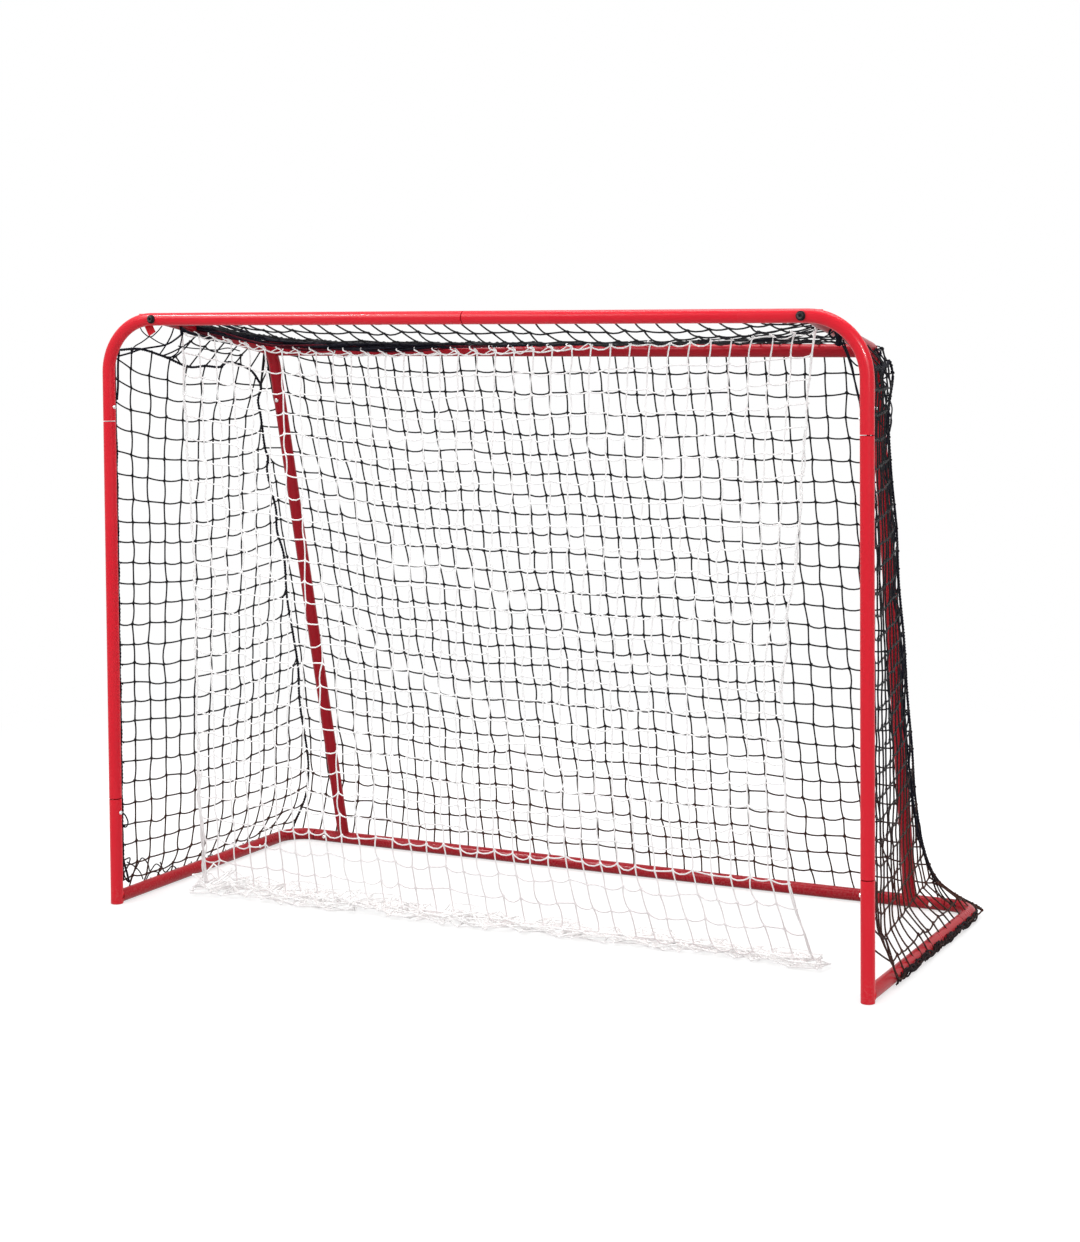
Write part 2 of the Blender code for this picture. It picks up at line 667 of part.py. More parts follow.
def corner_knot(side, tenth):
    """A knot of the cord where it falls beside the upright, flaring out near the floor."""
    point = between(seam_head[side], seam_foot[side], tenth / 10)
    if 0 < tenth < 10:
        share = (ROOF_BAR_HEIGHT - point.z) / (ROOF_BAR_HEIGHT - BASE_HEIGHT)
        upright_x = between(ARM_X_AT_ROOF_BAR, UPRIGHT_X_AT_BASE, share)
        point.x = SIDES[side] * (upright_x + CORD_BESIDE_UPRIGHT[side][tenth - 1])
    return point


def corner_edge(side, share):
    """The corner cord's stretch from the roof corner down to the base, in ten runs."""
    tenth = min(int(share * 10 + TINY), 9)
    return between(corner_knot(side, tenth), corner_knot(side, tenth + 1), share * 10 - tenth)


for side in SIDES:
    knots = [roof_edge(side, share) for share in (0.0, 0.25, 0.5, 0.75, 0.96)]
    knots += [corner_edge(side, share) for share in (0.03, 0.1)]
    falling = [corner_knot(side, tenth) for tenth in range(2, 11)]
    solid_cord(side + "_corner_cord", smooth_points(knots, 19) + falling, SEAM_CORD_RADIUS,
               goal, black_cord, 1)

# Post cords, which lash the side nets behind the posts
for side, sign in SIDES.items():
    reach = TUBE_RADIUS + NET_CLEARANCE + POST_CORD_RADIUS
    depth = math.sqrt(reach ** 2 - POST_CORD_ASIDE ** 2)
    x = sign * (POST_X - POST_CORD_ASIDE)
    ends = [place(x, depth, POST_UPPER_SEAM - POST_CORD_TOP_DROP),
            place(x, depth, POST_CORD_FOOT)]
    points = [between(ends[0], ends[1], index / 8) for index in range(9)]
    solid_cord(side + "_post_cord", points, POST_CORD_RADIUS, goal, black_cord, 1)

# Head rope, tied between the arms
arm_share = (HEAD_ROPE_DEPTH - ARM_KNEE_DEPTH) / (ROOF_DEPTH - ARM_KNEE_DEPTH)
arm_x = between(ARM_X_AT_CROSSBAR, ARM_X_AT_ROOF_BAR, arm_share)
arm_height = between(CROSSBAR_HEIGHT, ROOF_BAR_HEIGHT, arm_share)
rope_half = arm_x - TUBE_RADIUS - 0.0006


def rope_height(x):
    return arm_height - 0.002 - HEAD_ROPE_SAG * (1 - (x / rope_half) ** 4)


def rope_point(index, count):
    x = between(-rope_half, rope_half, index / (count - 1))
    return place(x, HEAD_ROPE_DEPTH, rope_height(x))


# Outer net: back, roof and two sides
clear_of_cord = SEAM_CORD_RADIUS + NET_STRAND / 2 + 0.0005
slope = math.atan2(BASE_DEPTH - ROOF_DEPTH, ROOF_BAR_HEIGHT - BASE_HEIGHT)
behind = Vector((0, math.cos(slope), math.sin(slope))) * NET_OFFSET
arm_fall = (CROSSBAR_HEIGHT - ROOF_BAR_HEIGHT) / (ROOF_DEPTH - ARM_KNEE_DEPTH)


def back_surface(u, v):
    edges = [corner_edge(side, 1.0 - v) for side in SIDES]
    x = between(edges[0].x + clear_of_cord, edges[1].x - clear_of_cord, u)
    base = place(x, BASE_DEPTH, BASE_HEIGHT) + behind
    roof = place(x, ROOF_DEPTH, ROOF_BAR_HEIGHT) + behind
    return between(base, roof, v)


def roof_surface(u, v):
    columns = ROOF_NET_GAPS[0]
    side = "left" if u < 0.5 else "right"
    sign = SIDES[side]
    outermost = min(u, 1 - u) * columns < 0.5
    front = place(0, plate_face + NET_CLEARANCE + NET_STRAND / 2 + 0.0008, 0)
    if outermost:
        edge = roof_edge(side, 0.04 + 0.92 * v)
        return edge + Vector((-sign * 0.001, 0, clear_of_cord + 0.0014))
    inner = (u * columns - 1) / (columns - 2)
    half = ARM_X_AT_CROSSBAR + TUBE_RADIUS + 0.006
    depth = between(front.y - POST_LINE_Y, ROOF_DEPTH, v)
    x = between(-half, half, inner)
    row = round(v * ROOF_NET_GAPS[1])
    if abs(x) < rope_half * TIED_DOWN_SHARE and row == 1:
        return place(x, HEAD_ROPE_DEPTH,
                     rope_height(x) + HEAD_ROPE_RADIUS + NET_STRAND / 2 + NET_CLEARANCE)
    if abs(x) < rope_half * TIED_DOWN_SHARE and row == 2:
        return place(x, depth, ROOF_BAR_HEIGHT + NET_OFFSET + 0.004)
    height = ROOF_BAR_HEIGHT + arm_fall * (ROOF_DEPTH - depth)
    return place(x, depth, height + NET_OFFSET * math.sqrt(1 + arm_fall ** 2))


def side_surface(side):
    sign = SIDES[side]

    def over_side_tube(point, above):
        """Where a strand that comes down from above first touches the side tube's outside."""
        reach = NET_OFFSET + 0.0002
        aside = sign * above.x - POST_X
        rise = above.z - BASE_HEIGHT
        turn = math.atan2(rise, aside) - math.acos(reach / math.hypot(aside, rise))
        return Vector((sign * (POST_X + reach * math.cos(turn)), point.y,
                       BASE_HEIGHT + reach * math.sin(turn)))

    def surface(u, v):
        low_front = place(sign * (POST_X + NET_OFFSET), NET_OFFSET + 0.0015, BASE_HEIGHT)
        high_front = roof_edge(side, 0.0) - Vector((0, 0, clear_of_cord))
        front = between(low_front, high_front, v)
        if v > 0.01:
            front.x = sign * (POST_X - 0.0068 * max(0.0, (v - 0.85) / 0.15))
            front.y = POST_LINE_Y + NET_OFFSET + 0.0002
        if u == 0:
            return front
        rear = corner_edge(side, 1 - v) - Vector((0, clear_of_cord, 0))
        if v < 0.01:
            rear = place(sign * (POST_X + NET_OFFSET), rear.y - POST_LINE_Y, BASE_HEIGHT)
            point = between(front, rear, u)
            return over_side_tube(point, surface(u, 1 / SIDE_NET_GAPS[1]))
        if v > 0.99:
            cord = roof_edge(side, 0.96 * u)
            return Vector((cord.x, cord.y, cord.z - clear_of_cord - 0.0002))
        return between(front, rear, u)

    return surface


net_panel("back_net", back_surface, BACK_NET_GAPS, goal, black_cord)
net_panel("roof_net", roof_surface, ROOF_NET_GAPS, goal, black_cord)
for side in SIDES:
    net_panel(side + "_side_net", side_surface(side), SIDE_NET_GAPS, goal, black_cord)

# Drop net, hung from the head rope
solid_cord("head_rope", [rope_point(index, 23) for index in range(23)], HEAD_ROPE_RADIUS, goal,
           black_cord, 2)


def drop_surface(u, v):
    x = between(-DROP_NET_HALF, DROP_NET_HALF, u)
    slope_here = 4 * HEAD_ROPE_SAG * abs(x) ** 3 / rope_half ** 4
    bend_here = 12 * HEAD_ROPE_SAG * x ** 2 / rope_half ** 4
    chord_rise = bend_here * (2 * DROP_NET_HALF / DROP_NET_GAPS[0]) ** 2 / 8
    under = HEAD_ROPE_RADIUS + NET_STRAND / 2 + NET_CLEARANCE
    top = rope_height(x) - under * math.sqrt(1 + slope_here ** 2) - chord_rise
    bottom = 2 * HEM_RADIUS + NET_STRAND / 2 + 0.0012
    fold = 0.006 * math.sin(math.pi * v) * math.cos(u * math.pi * 7)
    return place(x, HEAD_ROPE_DEPTH + fold, between(bottom, top, v))


net_panel("drop_net", drop_surface, DROP_NET_GAPS, goal, white_cord)
hem_points = [place(between(-DROP_NET_HALF, DROP_NET_HALF, index / 16),
                    HEAD_ROPE_DEPTH, HEM_RADIUS + 0.0006) for index in range(17)]
solid_cord("drop_net_hem", hem_points, HEM_RADIUS, goal, white_cord, 2)

print("post line at Y", round(POST_LINE_Y, 5))
print("head rope hinge at", [round(value, 5) for value in
                             place(0, HEAD_ROPE_DEPTH, rope_height(0))])
for name, root, axis in joints:
    print("joint", name, [round(value, 5) for value in root], [round(value, 4) for value in axis])
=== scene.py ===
import math

import bmesh
import bpy
import numpy as np
from mathutils import Matrix, Vector


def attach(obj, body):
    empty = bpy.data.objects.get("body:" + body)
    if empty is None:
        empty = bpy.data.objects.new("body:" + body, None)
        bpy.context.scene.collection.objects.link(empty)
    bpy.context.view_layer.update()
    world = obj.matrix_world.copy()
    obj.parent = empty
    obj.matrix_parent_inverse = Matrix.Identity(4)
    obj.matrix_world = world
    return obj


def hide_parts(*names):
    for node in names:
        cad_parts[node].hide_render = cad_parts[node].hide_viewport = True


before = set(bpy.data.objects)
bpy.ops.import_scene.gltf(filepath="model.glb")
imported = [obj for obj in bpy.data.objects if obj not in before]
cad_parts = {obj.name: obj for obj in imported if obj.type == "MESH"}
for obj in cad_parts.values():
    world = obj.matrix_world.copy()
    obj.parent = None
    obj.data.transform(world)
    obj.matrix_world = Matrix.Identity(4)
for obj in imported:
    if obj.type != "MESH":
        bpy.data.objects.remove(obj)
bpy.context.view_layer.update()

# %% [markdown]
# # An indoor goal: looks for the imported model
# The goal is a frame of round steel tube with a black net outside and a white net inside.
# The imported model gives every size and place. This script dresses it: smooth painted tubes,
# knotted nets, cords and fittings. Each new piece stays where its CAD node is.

# %% [markdown]
# ## The camera
# The photograph was taken from the right of the goal, at about the height of its crossbar.
# The camera's place and lens were fitted to the ends of the tubes, whose real places are known.
# The optical axis lies above the middle of the picture, so the lens is shifted, not tilted.


# %% Camera fitted to the photograph
def place_object(name, data):
    """Puts new data into the scene as an object."""
    thing = bpy.data.objects.new(name, data)
    bpy.context.scene.collection.objects.link(thing)
    return thing


FRAME_HIGH, SENSOR, FOCAL = 1242, 36.0, 2348.7
CENTRE_X, CENTRE_Y = 540.0, 413.165
EYE = Vector((2.0810, -4.0898, 1.1853))
yaw, pitch, roll = math.radians(26.884), math.radians(2.568), math.radians(-0.427)
LOOK = Vector((-math.sin(yaw) * math.cos(pitch), math.cos(yaw) * math.cos(pitch),
               -math.sin(pitch)))
level = Vector((math.cos(yaw), math.sin(yaw), 0.0))
RIGHT = level * math.cos(roll) + level.cross(LOOK) * math.sin(roll)
UP = RIGHT.cross(LOOK)

lens = bpy.data.cameras.new("photo_lens")
lens.sensor_width = SENSOR
lens.lens = FOCAL / FRAME_HIGH * SENSOR
lens.shift_y = (CENTRE_Y - FRAME_HIGH / 2) / FRAME_HIGH
lens.clip_start, lens.clip_end = 0.1, 60.0
camera = place_object("photo_camera", lens)
camera.matrix_world = Matrix.Translation(EYE) @ Matrix((RIGHT, UP, -LOOK)).transposed().to_4x4()
bpy.context.scene.camera = camera
print("lens", round(lens.lens, 2), "mm, shift", round(lens.shift_y, 4))


# %% Cast a pixel of the photograph on to a plane
def seen_at(px, py, point, normal):
    """The point of a plane that the camera sees at a pixel of the 1080 x 1242 picture."""
    ray = LOOK + RIGHT * ((px - CENTRE_X) / FOCAL) - UP * ((py - CENTRE_Y) / FOCAL)
    normal = Vector(normal)
    return EYE + ray * ((Vector(point) - EYE).dot(normal) / ray.dot(normal))


# %% [markdown]
# ## Nodes
# Every material and the world are built from nodes. A bench keeps that short: it adds a node,
# sets its values and links what is given to it. A finish is a node group for one kind of
# surface, with a few colours as inputs, so that several materials can share it.


# %% A short way to add nodes
class Bench:
    """Adds nodes to a tree. A value is a number, a colour or the output of another node."""

    def __init__(self, tree):
        self.tree = tree

    def feed(self, socket, value):
        if isinstance(value, bpy.types.NodeSocket):
            self.tree.links.new(value, socket)
        else:
            socket.default_value = value

    def put(self, kind, values=(), **settings):
        node = self.tree.nodes.new(kind)
        for key, value in settings.items():
            setattr(node, key, value)
        for socket, value in dict(values).items():
            self.feed(node.inputs[socket], value)
        return node

    def math(self, operation, first, second=0.0):
        return self.put("ShaderNodeMath", {0: first, 1: second}, operation=operation).outputs[0]

    def ramp(self, value, low, high, to_low=0.0, to_high=1.0, kind="LINEAR"):
        values = {0: value, 1: low, 2: high, 3: to_low, 4: to_high}
        return self.put("ShaderNodeMapRange", values, interpolation_type=kind).outputs[0]

    def blend(self, factor, first, second):
        values = {0: factor, 6: first, 7: second}
        return self.put("ShaderNodeMix", values, data_type="RGBA").outputs[2]

    def noise(self, vector, scale, detail=2.0):
        values = {"Scale": scale, "Detail": detail, "Vector": vector}
        return self.put("ShaderNodeTexNoise", values).outputs["Fac"]

    def where(self):
        return self.put("ShaderNodeTexCoord").outputs["Object"]

    def height(self, where):
        return self.put("ShaderNodeSeparateXYZ", {0: where}).outputs[2]

    def looked_at(self):
        """1 for what the camera sees, directly or in a reflection or through glass."""
        rays = self.put("ShaderNodeLightPath").outputs
        either = self.math("MAXIMUM", rays["Is Camera Ray"], rays["Is Glossy Ray"])
        return self.math("MAXIMUM", either, rays["Is Transmission Ray"])


class Finish(Bench):
    """A node group for a surface: colours and numbers go in, what the shader needs comes out."""

    def __init__(self, name, inputs):
        super().__init__(bpy.data.node_groups.new(name, "ShaderNodeTree"))
        new_socket = self.tree.interface.new_socket
        for label, value in inputs.items():
            kind = "NodeSocketColor" if isinstance(value, tuple) else "NodeSocketFloat"
            new_socket(label, in_out="INPUT", socket_type=kind).default_value = value
        for label, kind in (("Colour", "Color"), ("Roughness", "Float"), ("Height", "Float")):
            new_socket(label, in_out="OUTPUT", socket_type="NodeSocket" + kind)
        self.given = self.tree.nodes.new("NodeGroupInput").outputs
        self.result = self.tree.nodes.new("NodeGroupOutput").inputs

    def give(self, colour, roughness, height):
        for label, value in (("Colour", colour), ("Roughness", roughness), ("Height", height)):
            self.feed(self.result[label], value)
        return self.tree


def new_material(name, values):
    """A material with some of its shader's sockets set, the shader, and a bench."""
    material = bpy.data.materials.new(name)
    material.use_nodes = True
    bench = Bench(material.node_tree)
    shader = material.node_tree.nodes["Principled BSDF"]
    for label, value in values.items():
        bench.feed(shader.inputs[label], value)
    return material, shader, bench


def finished(name, group, values, shader_values, bump, bump_depth):
    """A material whose surface comes from a finish."""
    material, shader, bench = new_material(name, shader_values)
    surface = bench.put("ShaderNodeGroup", values, node_tree=group).outputs
    relief = bench.put("ShaderNodeBump", {"Strength": bump, "Distance": bump_depth,
                                          "Height": surface["Height"]})
    for label, value in (("Base Color", surface["Colour"]), ("Roughness", surface["Roughness"]),
                         ("Normal", relief.outputs[0])):
        bench.feed(shader.inputs[label], value)
    return material


# %% [markdown]
# ## Floor and light
# The goal stands on a plain white floor in soft studio light. The background is made white
# by what the camera and the reflections see, and not by more light on the goal, so that the
# paint keeps its own colour. Large soft lamps light the goal, and two more give only the long
# highlights on the crossbar and its right bend.

# %% Floor
FLOOR_SIZE, FLOOR_Z = 60, -0.0006
FLOOR_GREY, FLOOR_GLOW = 0.45, 0.62
WHITE_FROM, WHITE_BY = 1.3, 2.6


def white_floor():
    """White floor that keeps the goal's shadow near it, and is plain white further off."""
    material, shader, bench = new_material("studio_floor_white", {
        "Base Color": (FLOOR_GREY, FLOOR_GREY, FLOOR_GREY, 1), "Roughness": 0.9,
        "Specular IOR Level": 0.1, "Emission Color": (1, 1, 1, 1)})
    looked_at = bench.looked_at()
    bench.feed(shader.inputs["Emission Strength"], bench.math("MULTIPLY", looked_at, FLOOR_GLOW))
    away = bench.put("ShaderNodeVectorMath", {0: bench.where()}, operation="LENGTH")
    far = bench.ramp(away.outputs["Value"], WHITE_FROM, WHITE_BY, kind="SMOOTHSTEP")
    white = bench.put("ShaderNodeEmission", {"Strength": 1.0})
    mixed = bench.put("ShaderNodeMixShader", {0: bench.math("MULTIPLY", far, looked_at),
                                              1: shader.outputs[0], 2: white.outputs[0]})
    bench.feed(material.node_tree.nodes["Material Output"].inputs["Surface"], mixed.outputs[0])
    return material


bpy.ops.mesh.primitive_plane_add(size=FLOOR_SIZE, location=(0, 0, FLOOR_Z))
floor = bpy.context.object
floor.name = "studio_floor"
floor.data.materials.append(white_floor())

# %% World: white to the camera, softer as a light
WORLD_LIGHT = 0.52
world = bpy.data.worlds.new("studio")
bpy.context.scene.world = world
world.use_nodes = True
world.node_tree.nodes.clear()
sky = Bench(world.node_tree)
lit, seen = (sky.put("ShaderNodeBackground", {"Color": (1, 1, 1, 1), "Strength": strength})
             for strength in (WORLD_LIGHT, 1.0))
mixed = sky.put("ShaderNodeMixShader",
                {0: sky.looked_at(), 1: lit.outputs[0], 2: seen.outputs[0]})
sky.put("ShaderNodeOutputWorld", {"Surface": mixed.outputs[0]})
bpy.context.scene.view_settings.view_transform = "Standard"

# %% Three soft lamps, and two that only show as highlights on the paint
for name, place, aim, size, watts, lights_goal in (
        ("key_lamp", (-2.6, -3.6, 3.4), (0, 0, 0.5), (2.2, 2.2), 106, True),
        ("fill_lamp", (3.8, -2.6, 2.2), (0, 0, 0.5), (2.0, 2.6), 64, True),
        ("top_lamp", (0.0, 0.6, 4.2), (0, 0, 0.5), (3.0, 2.0), 112, True),
        ("strip_lamp", (-1.68, -1.12, 2.80), (-0.45, -0.32, 1.17), (1.1, 0.34), 80, False),
        ("corner_lamp", (2.16, -1.75, 2.05), (0.757, -0.32, 1.138), (0.45, 0.45), 60, False)):
    light = bpy.data.lights.new(name, "AREA")
    light.shape = "RECTANGLE"
    light.size, light.size_y = size
    light.energy = watts
    lamp = place_object(name, light)
    lamp.location = place
    lamp.rotation_euler = (Vector(aim) - Vector(place)).to_track_quat("-Z", "Y").to_euler()
    lamp.visible_diffuse = lights_goal

# %% [markdown]
# ## Paint, metal, plastic and yarn
# The finishes read the piece's own coordinates, in metres, so the grain has its real size.
# The paint is a powder coat: glossy, faintly uneven like orange peel, dusty near the floor.
# The gloss itself is the shader's own coat. A grain is the scale and the detail of a noise.

# %% Powder coat
CLOUD, SPECK, RUBBED, ORANGE_PEEL = (5.0, 3.0), (240.0, 3.0), (38.0, 4.0), 620.0
SCRATCH_STRETCH, PAINT_DUST_TOP = (260, 260, 9), 0.055


def powder_coat():
    coat = Finish("powder_coat_finish", {"Paint": (0.7, 0.02, 0.03, 1),
                                         "Worn Paint": (0.8, 0.1, 0.1, 1),
                                         "Dust": (0.5, 0.4, 0.35, 1)})
    fresh, worn = coat.given["Paint"], coat.given["Worn Paint"]
    where = coat.where()
    cloud, speck, rubbed = (coat.noise(where, *grain) for grain in (CLOUD, SPECK, RUBBED))
    lengthwise = coat.put("ShaderNodeMapping", {0: where, 3: SCRATCH_STRETCH}).outputs[0]
    scratch = coat.noise(lengthwise, 1.0)
    tone = coat.blend(coat.ramp(cloud, 0.35, 0.65), fresh, coat.blend(0.16, fresh, worn))
    marks = coat.math("MULTIPLY", coat.ramp(scratch, 0.70, 0.76), coat.ramp(rubbed, 0.52, 0.66))
    marked = coat.blend(coat.math("MULTIPLY", marks, 0.45), tone, worn)
    low = coat.ramp(coat.height(where), 0.0, PAINT_DUST_TOP, 1.0, 0.0)
    dust = coat.math("MULTIPLY", low, coat.ramp(speck, 0.45, 0.75))
    rough = coat.math("ADD", coat.ramp(cloud, 0.3, 0.7, 0.24, 0.34),
                      coat.math("MULTIPLY", coat.math("ADD", marks, dust), 0.3))
    relief = coat.math("ADD", coat.noise(where, ORANGE_PEEL), coat.math("MULTIPLY", marks, -0.5))
    return coat.give(coat.blend(coat.math("MULTIPLY", dust, 0.20), marked, coat.given["Dust"]),
                     rough, relief)


POWDER_COAT = powder_coat()


def paint(name, colour, worn):
    return finished(name, POWDER_COAT, {"Paint": (*colour, 1), "Worn Paint": (*worn, 1),
                                        "Dust": (0.42, 0.30, 0.26, 1)},
                    {"Coat Weight": 0.12, "Coat Roughness": 0.07, "Specular IOR Level": 0.10},
                    bump=0.10, bump_depth=0.0004)


BRIGHT_RED = paint("bright_red_powder_coat", (0.735, 0.012, 0.028), (0.80, 0.05, 0.06))
DEEP_RED = paint("deep_red_powder_coat", (0.385, 0.004, 0.014), (0.48, 0.02, 0.03))
# A darker red for the side tubes behind the feet: painted shade, since each base side is one coat
# of the bright red.
SIDE_TUBE_SHADE_RED = paint("side_tube_painted_shade_red", (0.440, 0.004, 0.014), (0.52, 0.03, 0.04))

# %% Zinc plate, black oxide and moulded plastic
SPANGLE, METAL_GRAIN, METAL_HAZE = 900.0, 2600.0, (300.0, 4.0)
PLASTIC_GRAIN, PLASTIC_HAZE = 1500.0, (120.0, 3.0)


def worn_metal():
    metal = Finish("worn_metal_finish", {"Metal": (0.7, 0.7, 0.7, 1), "Dull": (0.5, 0.5, 0.5, 1)})
    where = metal.where()
    spangle = metal.put("ShaderNodeTexVoronoi", {"Vector": where, "Scale": SPANGLE}).outputs[0]
    haze = metal.noise(where, *METAL_HAZE)
    return metal.give(
        metal.blend(metal.ramp(haze, 0.35, 0.7), metal.given["Metal"], metal.given["Dull"]),
        metal.ramp(haze, 0.3, 0.7, 0.22, 0.42),
        metal.math("ADD", metal.noise(where, METAL_GRAIN), metal.math("MULTIPLY", spangle, 0.5)))


def moulded():
    plastic = Finish("moulded_plastic_finish", {"Plastic": (0.02, 0.02, 0.02, 1)})
    where = plastic.where()
    grain, haze = plastic.noise(where, PLASTIC_GRAIN), plastic.noise(where, *PLASTIC_HAZE)
    lighter = plastic.blend(0.02, plastic.given["Plastic"], (0.6, 0.6, 0.6, 1))
    return plastic.give(
        plastic.blend(plastic.ramp(haze, 0.4, 0.7), plastic.given["Plastic"], lighter),
        plastic.ramp(grain, 0.3, 0.7, 0.40, 0.58), grain)


WORN_METAL = worn_metal()
ZINC = finished("bright_zinc", WORN_METAL,
                {"Metal": (0.80, 0.80, 0.79, 1), "Dull": (0.60, 0.60, 0.61, 1)},
                {"Metallic": 1.0}, bump=0.08, bump_depth=0.0002)
BLACK_STEEL = finished("black_oxide_steel", WORN_METAL,
                       {"Metal": (0.045, 0.045, 0.050, 1), "Dull": (0.080, 0.072, 0.068, 1)},
                       {"Metallic": 0.6}, bump=0.08, bump_depth=0.0002)
BLACK_PLASTIC_AND_BOLT_SHADE = finished("black_plastic_and_painted_bolt_shade", moulded(),
                         {"Plastic": (0.005, 0.005, 0.006, 1)},
                         {"Specular IOR Level": 0.1}, bump=0.15, bump_depth=0.0003)

# %% [markdown]
# ### Yarn
# The nets and cords are twisted yarn. Every strand carries its own coordinates in an
# attribute: the cosine and sine of the angle round it, and the length along it. The angle
# and the length together make a screw thread, which is what the plies of a cord are. The
# raised crowns of the plies take a lighter colour, which is a painted highlight. Near the
# floor the yarn takes a second colour: a brownish dust on the black yarn and cords, and on
# the white net a painted shade that greys it.

# %% Twisted yarn
FULL_TURN, FUZZ, SOIL_AND_SHADE_GRAIN = 6.28318, (1400.0, 3.0), 9.0


def twisted_yarn():
    yarn = Finish("twisted_yarn_finish", {"Yarn": (0.01, 0.01, 0.01, 1),
                                          "Fibre Highlight": (0.05, 0.05, 0.05, 1),
                                          "Dust And Shade": (0.1, 0.05, 0.04, 1),
                                          "Dust And Shade Top": 0.3, "Lay Length": 0.012, "Plies": 3.0})
    lay = yarn.put("ShaderNodeAttribute", attribute_name="yarn").outputs["Vector"]
    parts = yarn.put("ShaderNodeSeparateXYZ", {0: lay}).outputs
    angle = yarn.math("ARCTAN2", parts[1], parts[0])
    turns = yarn.math("DIVIDE", parts[2], yarn.given["Lay Length"])
    spiral = yarn.math("SUBTRACT", yarn.math("MULTIPLY", angle, yarn.given["Plies"]),
                       yarn.math("MULTIPLY", turns, FULL_TURN))
    groove = yarn.math("COSINE", spiral)
    where = yarn.where()
    fuzz, worn = yarn.noise(where, *FUZZ), yarn.noise(where, SOIL_AND_SHADE_GRAIN)
    # Where a ply's crown is raised and the fuzz stands up, the yarn takes its lighter colour: a
    # painted highlight on the crowns.
    raised = yarn.math("MULTIPLY", yarn.ramp(groove, -0.4, 1.0), yarn.ramp(fuzz, 0.35, 0.7))
    cloth = yarn.blend(raised, yarn.given["Yarn"], yarn.given["Fibre Highlight"])
    # Towards the floor the yarn blends, in patches, to its second colour: dust on the dark yarn,
    # painted shade on the white net.
    low = yarn.ramp(yarn.height(where), 0.0, yarn.given["Dust And Shade Top"], 1.0, 0.0, "SMOOTHSTEP")
    dust = yarn.math("MULTIPLY", low, yarn.ramp(worn, 0.3, 0.6, 0.5, 1.0))
    return yarn.give(yarn.blend(dust, cloth, yarn.given["Dust And Shade"]),
                     yarn.ramp(fuzz, 0.3, 0.7, 0.62, 0.86),
                     yarn.math("ADD", groove, yarn.math("MULTIPLY", fuzz, 0.5)))


TWISTED_YARN = twisted_yarn()
# A faint emission on the white yarn is a painted glow. It brightens the white net, its hem and its
# loops, though the yarn is no lamp.
PAINTED_GLOW_ON_WHITE_YARN = {"Emission Color": (1, 0.985, 0.98, 1), "Emission Strength": 0.15}


def spun(name, colour, fibre_highlight, dust_and_shade, dust_and_shade_top, lay_length, sheen, glow=None):
    """A yarn, lighter on its ply crowns as a painted highlight. Dust, and on the white net painted
    shade, reach up to the given top, and a ply goes round once in lay_length.
    """
    return finished(name, TWISTED_YARN,
                    {"Yarn": (*colour, 1), "Fibre Highlight": (*fibre_highlight, 1), "Dust And Shade": (*dust_and_shade, 1),
                     "Dust And Shade Top": dust_and_shade_top, "Lay Length": lay_length},
                    {"Sheen Weight": sheen, "Specular IOR Level": 0.06, **(glow or {})},
                    bump=0.5, bump_depth=0.0004)


BLACK_YARN = spun("black_net_yarn", (0.008, 0.008, 0.010), (0.034, 0.034, 0.038),
                  (0.060, 0.020, 0.013), 0.42, 0.009, 0.08)
BLACK_ROPE = spun("black_rope_yarn", (0.005, 0.005, 0.011), (0.016, 0.016, 0.028),
                  (0.020, 0.010, 0.009), 0.20, 0.014, 0.03)
MAROON_ROPE = spun("maroon_rope_yarn", (0.080, 0.004, 0.012), (0.16, 0.012, 0.025),
                   (0.07, 0.01, 0.01), 0.01, 0.014, 0.05)
WHITE_YARN = spun("white_net_yarn", (0.94, 0.935, 0.935), (0.98, 0.98, 0.98),
                  (0.70, 0.640, 0.645), 0.36, 0.011, 0.3, glow=PAINTED_GLOW_ON_WHITE_YARN)
HEM_YARN = spun("white_hem_yarn", (0.94, 0.935, 0.935), (0.98, 0.98, 0.98),
                (0.95, 0.915, 0.91), 0.1, 0.011, 0.3, glow=PAINTED_GLOW_ON_WHITE_YARN)

# %% [markdown]
# ## Steel tubes
# Each section of the real frame is one length of round tube, bent on a machine and swaged
# at an end so that it plugs into the next. A ring of edges is drawn along each straight by
# extrusion and round each bend by spin, just as the bender does it. The skin is then given
# its wall, and the holes for the snap buttons are drilled by a boolean.

# %% Sizes of the frame, as in the part's source
TUBE_RADIUS, TUBE_WALL = 0.0125, 0.0015
PLUG_RADIUS, PLUG_LENGTH = TUBE_RADIUS - TUBE_WALL - 0.00035, 0.065
POST_X, POST_Y = 0.7875, -0.3217
CROSSBAR_Z, BASE_Z = 1.1685, 0.0125
REAR_Y, REAR_SEAM_X = 0.3243, 0.725
UPPER_SEAM, LOWER_SEAM, SIDE_SEAM_Y = 0.968, 0.211, 0.2003
ARM_X, ROOF_X, FOOT_X = 0.674, 0.664, 0.653
ROOF_Y, ROOF_Z, UPRIGHT_SEAM_Z = 0.0783, 1.101, 0.970
CROSSBAR_SEAM, CROSSBAR_BEND, ARM_BEND, BASE_BEND = 0.015, 0.105, 0.05, 0.056
BUTTON_FROM_SEAM, BUTTON_HOLE, BOLT_HOLE = 0.027, 0.0046, 0.0033
SEAM_GAP, NECK, WELD, TOUCH = 0.0003, 0.0016, 0.0011, 0.0002
ARM_STANDS_OFF, ARM_KNEE = 0.0046, 0.030
DRILL_FROM, DRILL_LENGTH, THROUGH = 0.0145, 0.020, 0.06
SIDES = {"left": -1, "right": 1}
RING = 44


# %% Selecting, applying and settling
def deselect():
    bpy.ops.object.select_all(action="DESELECT")


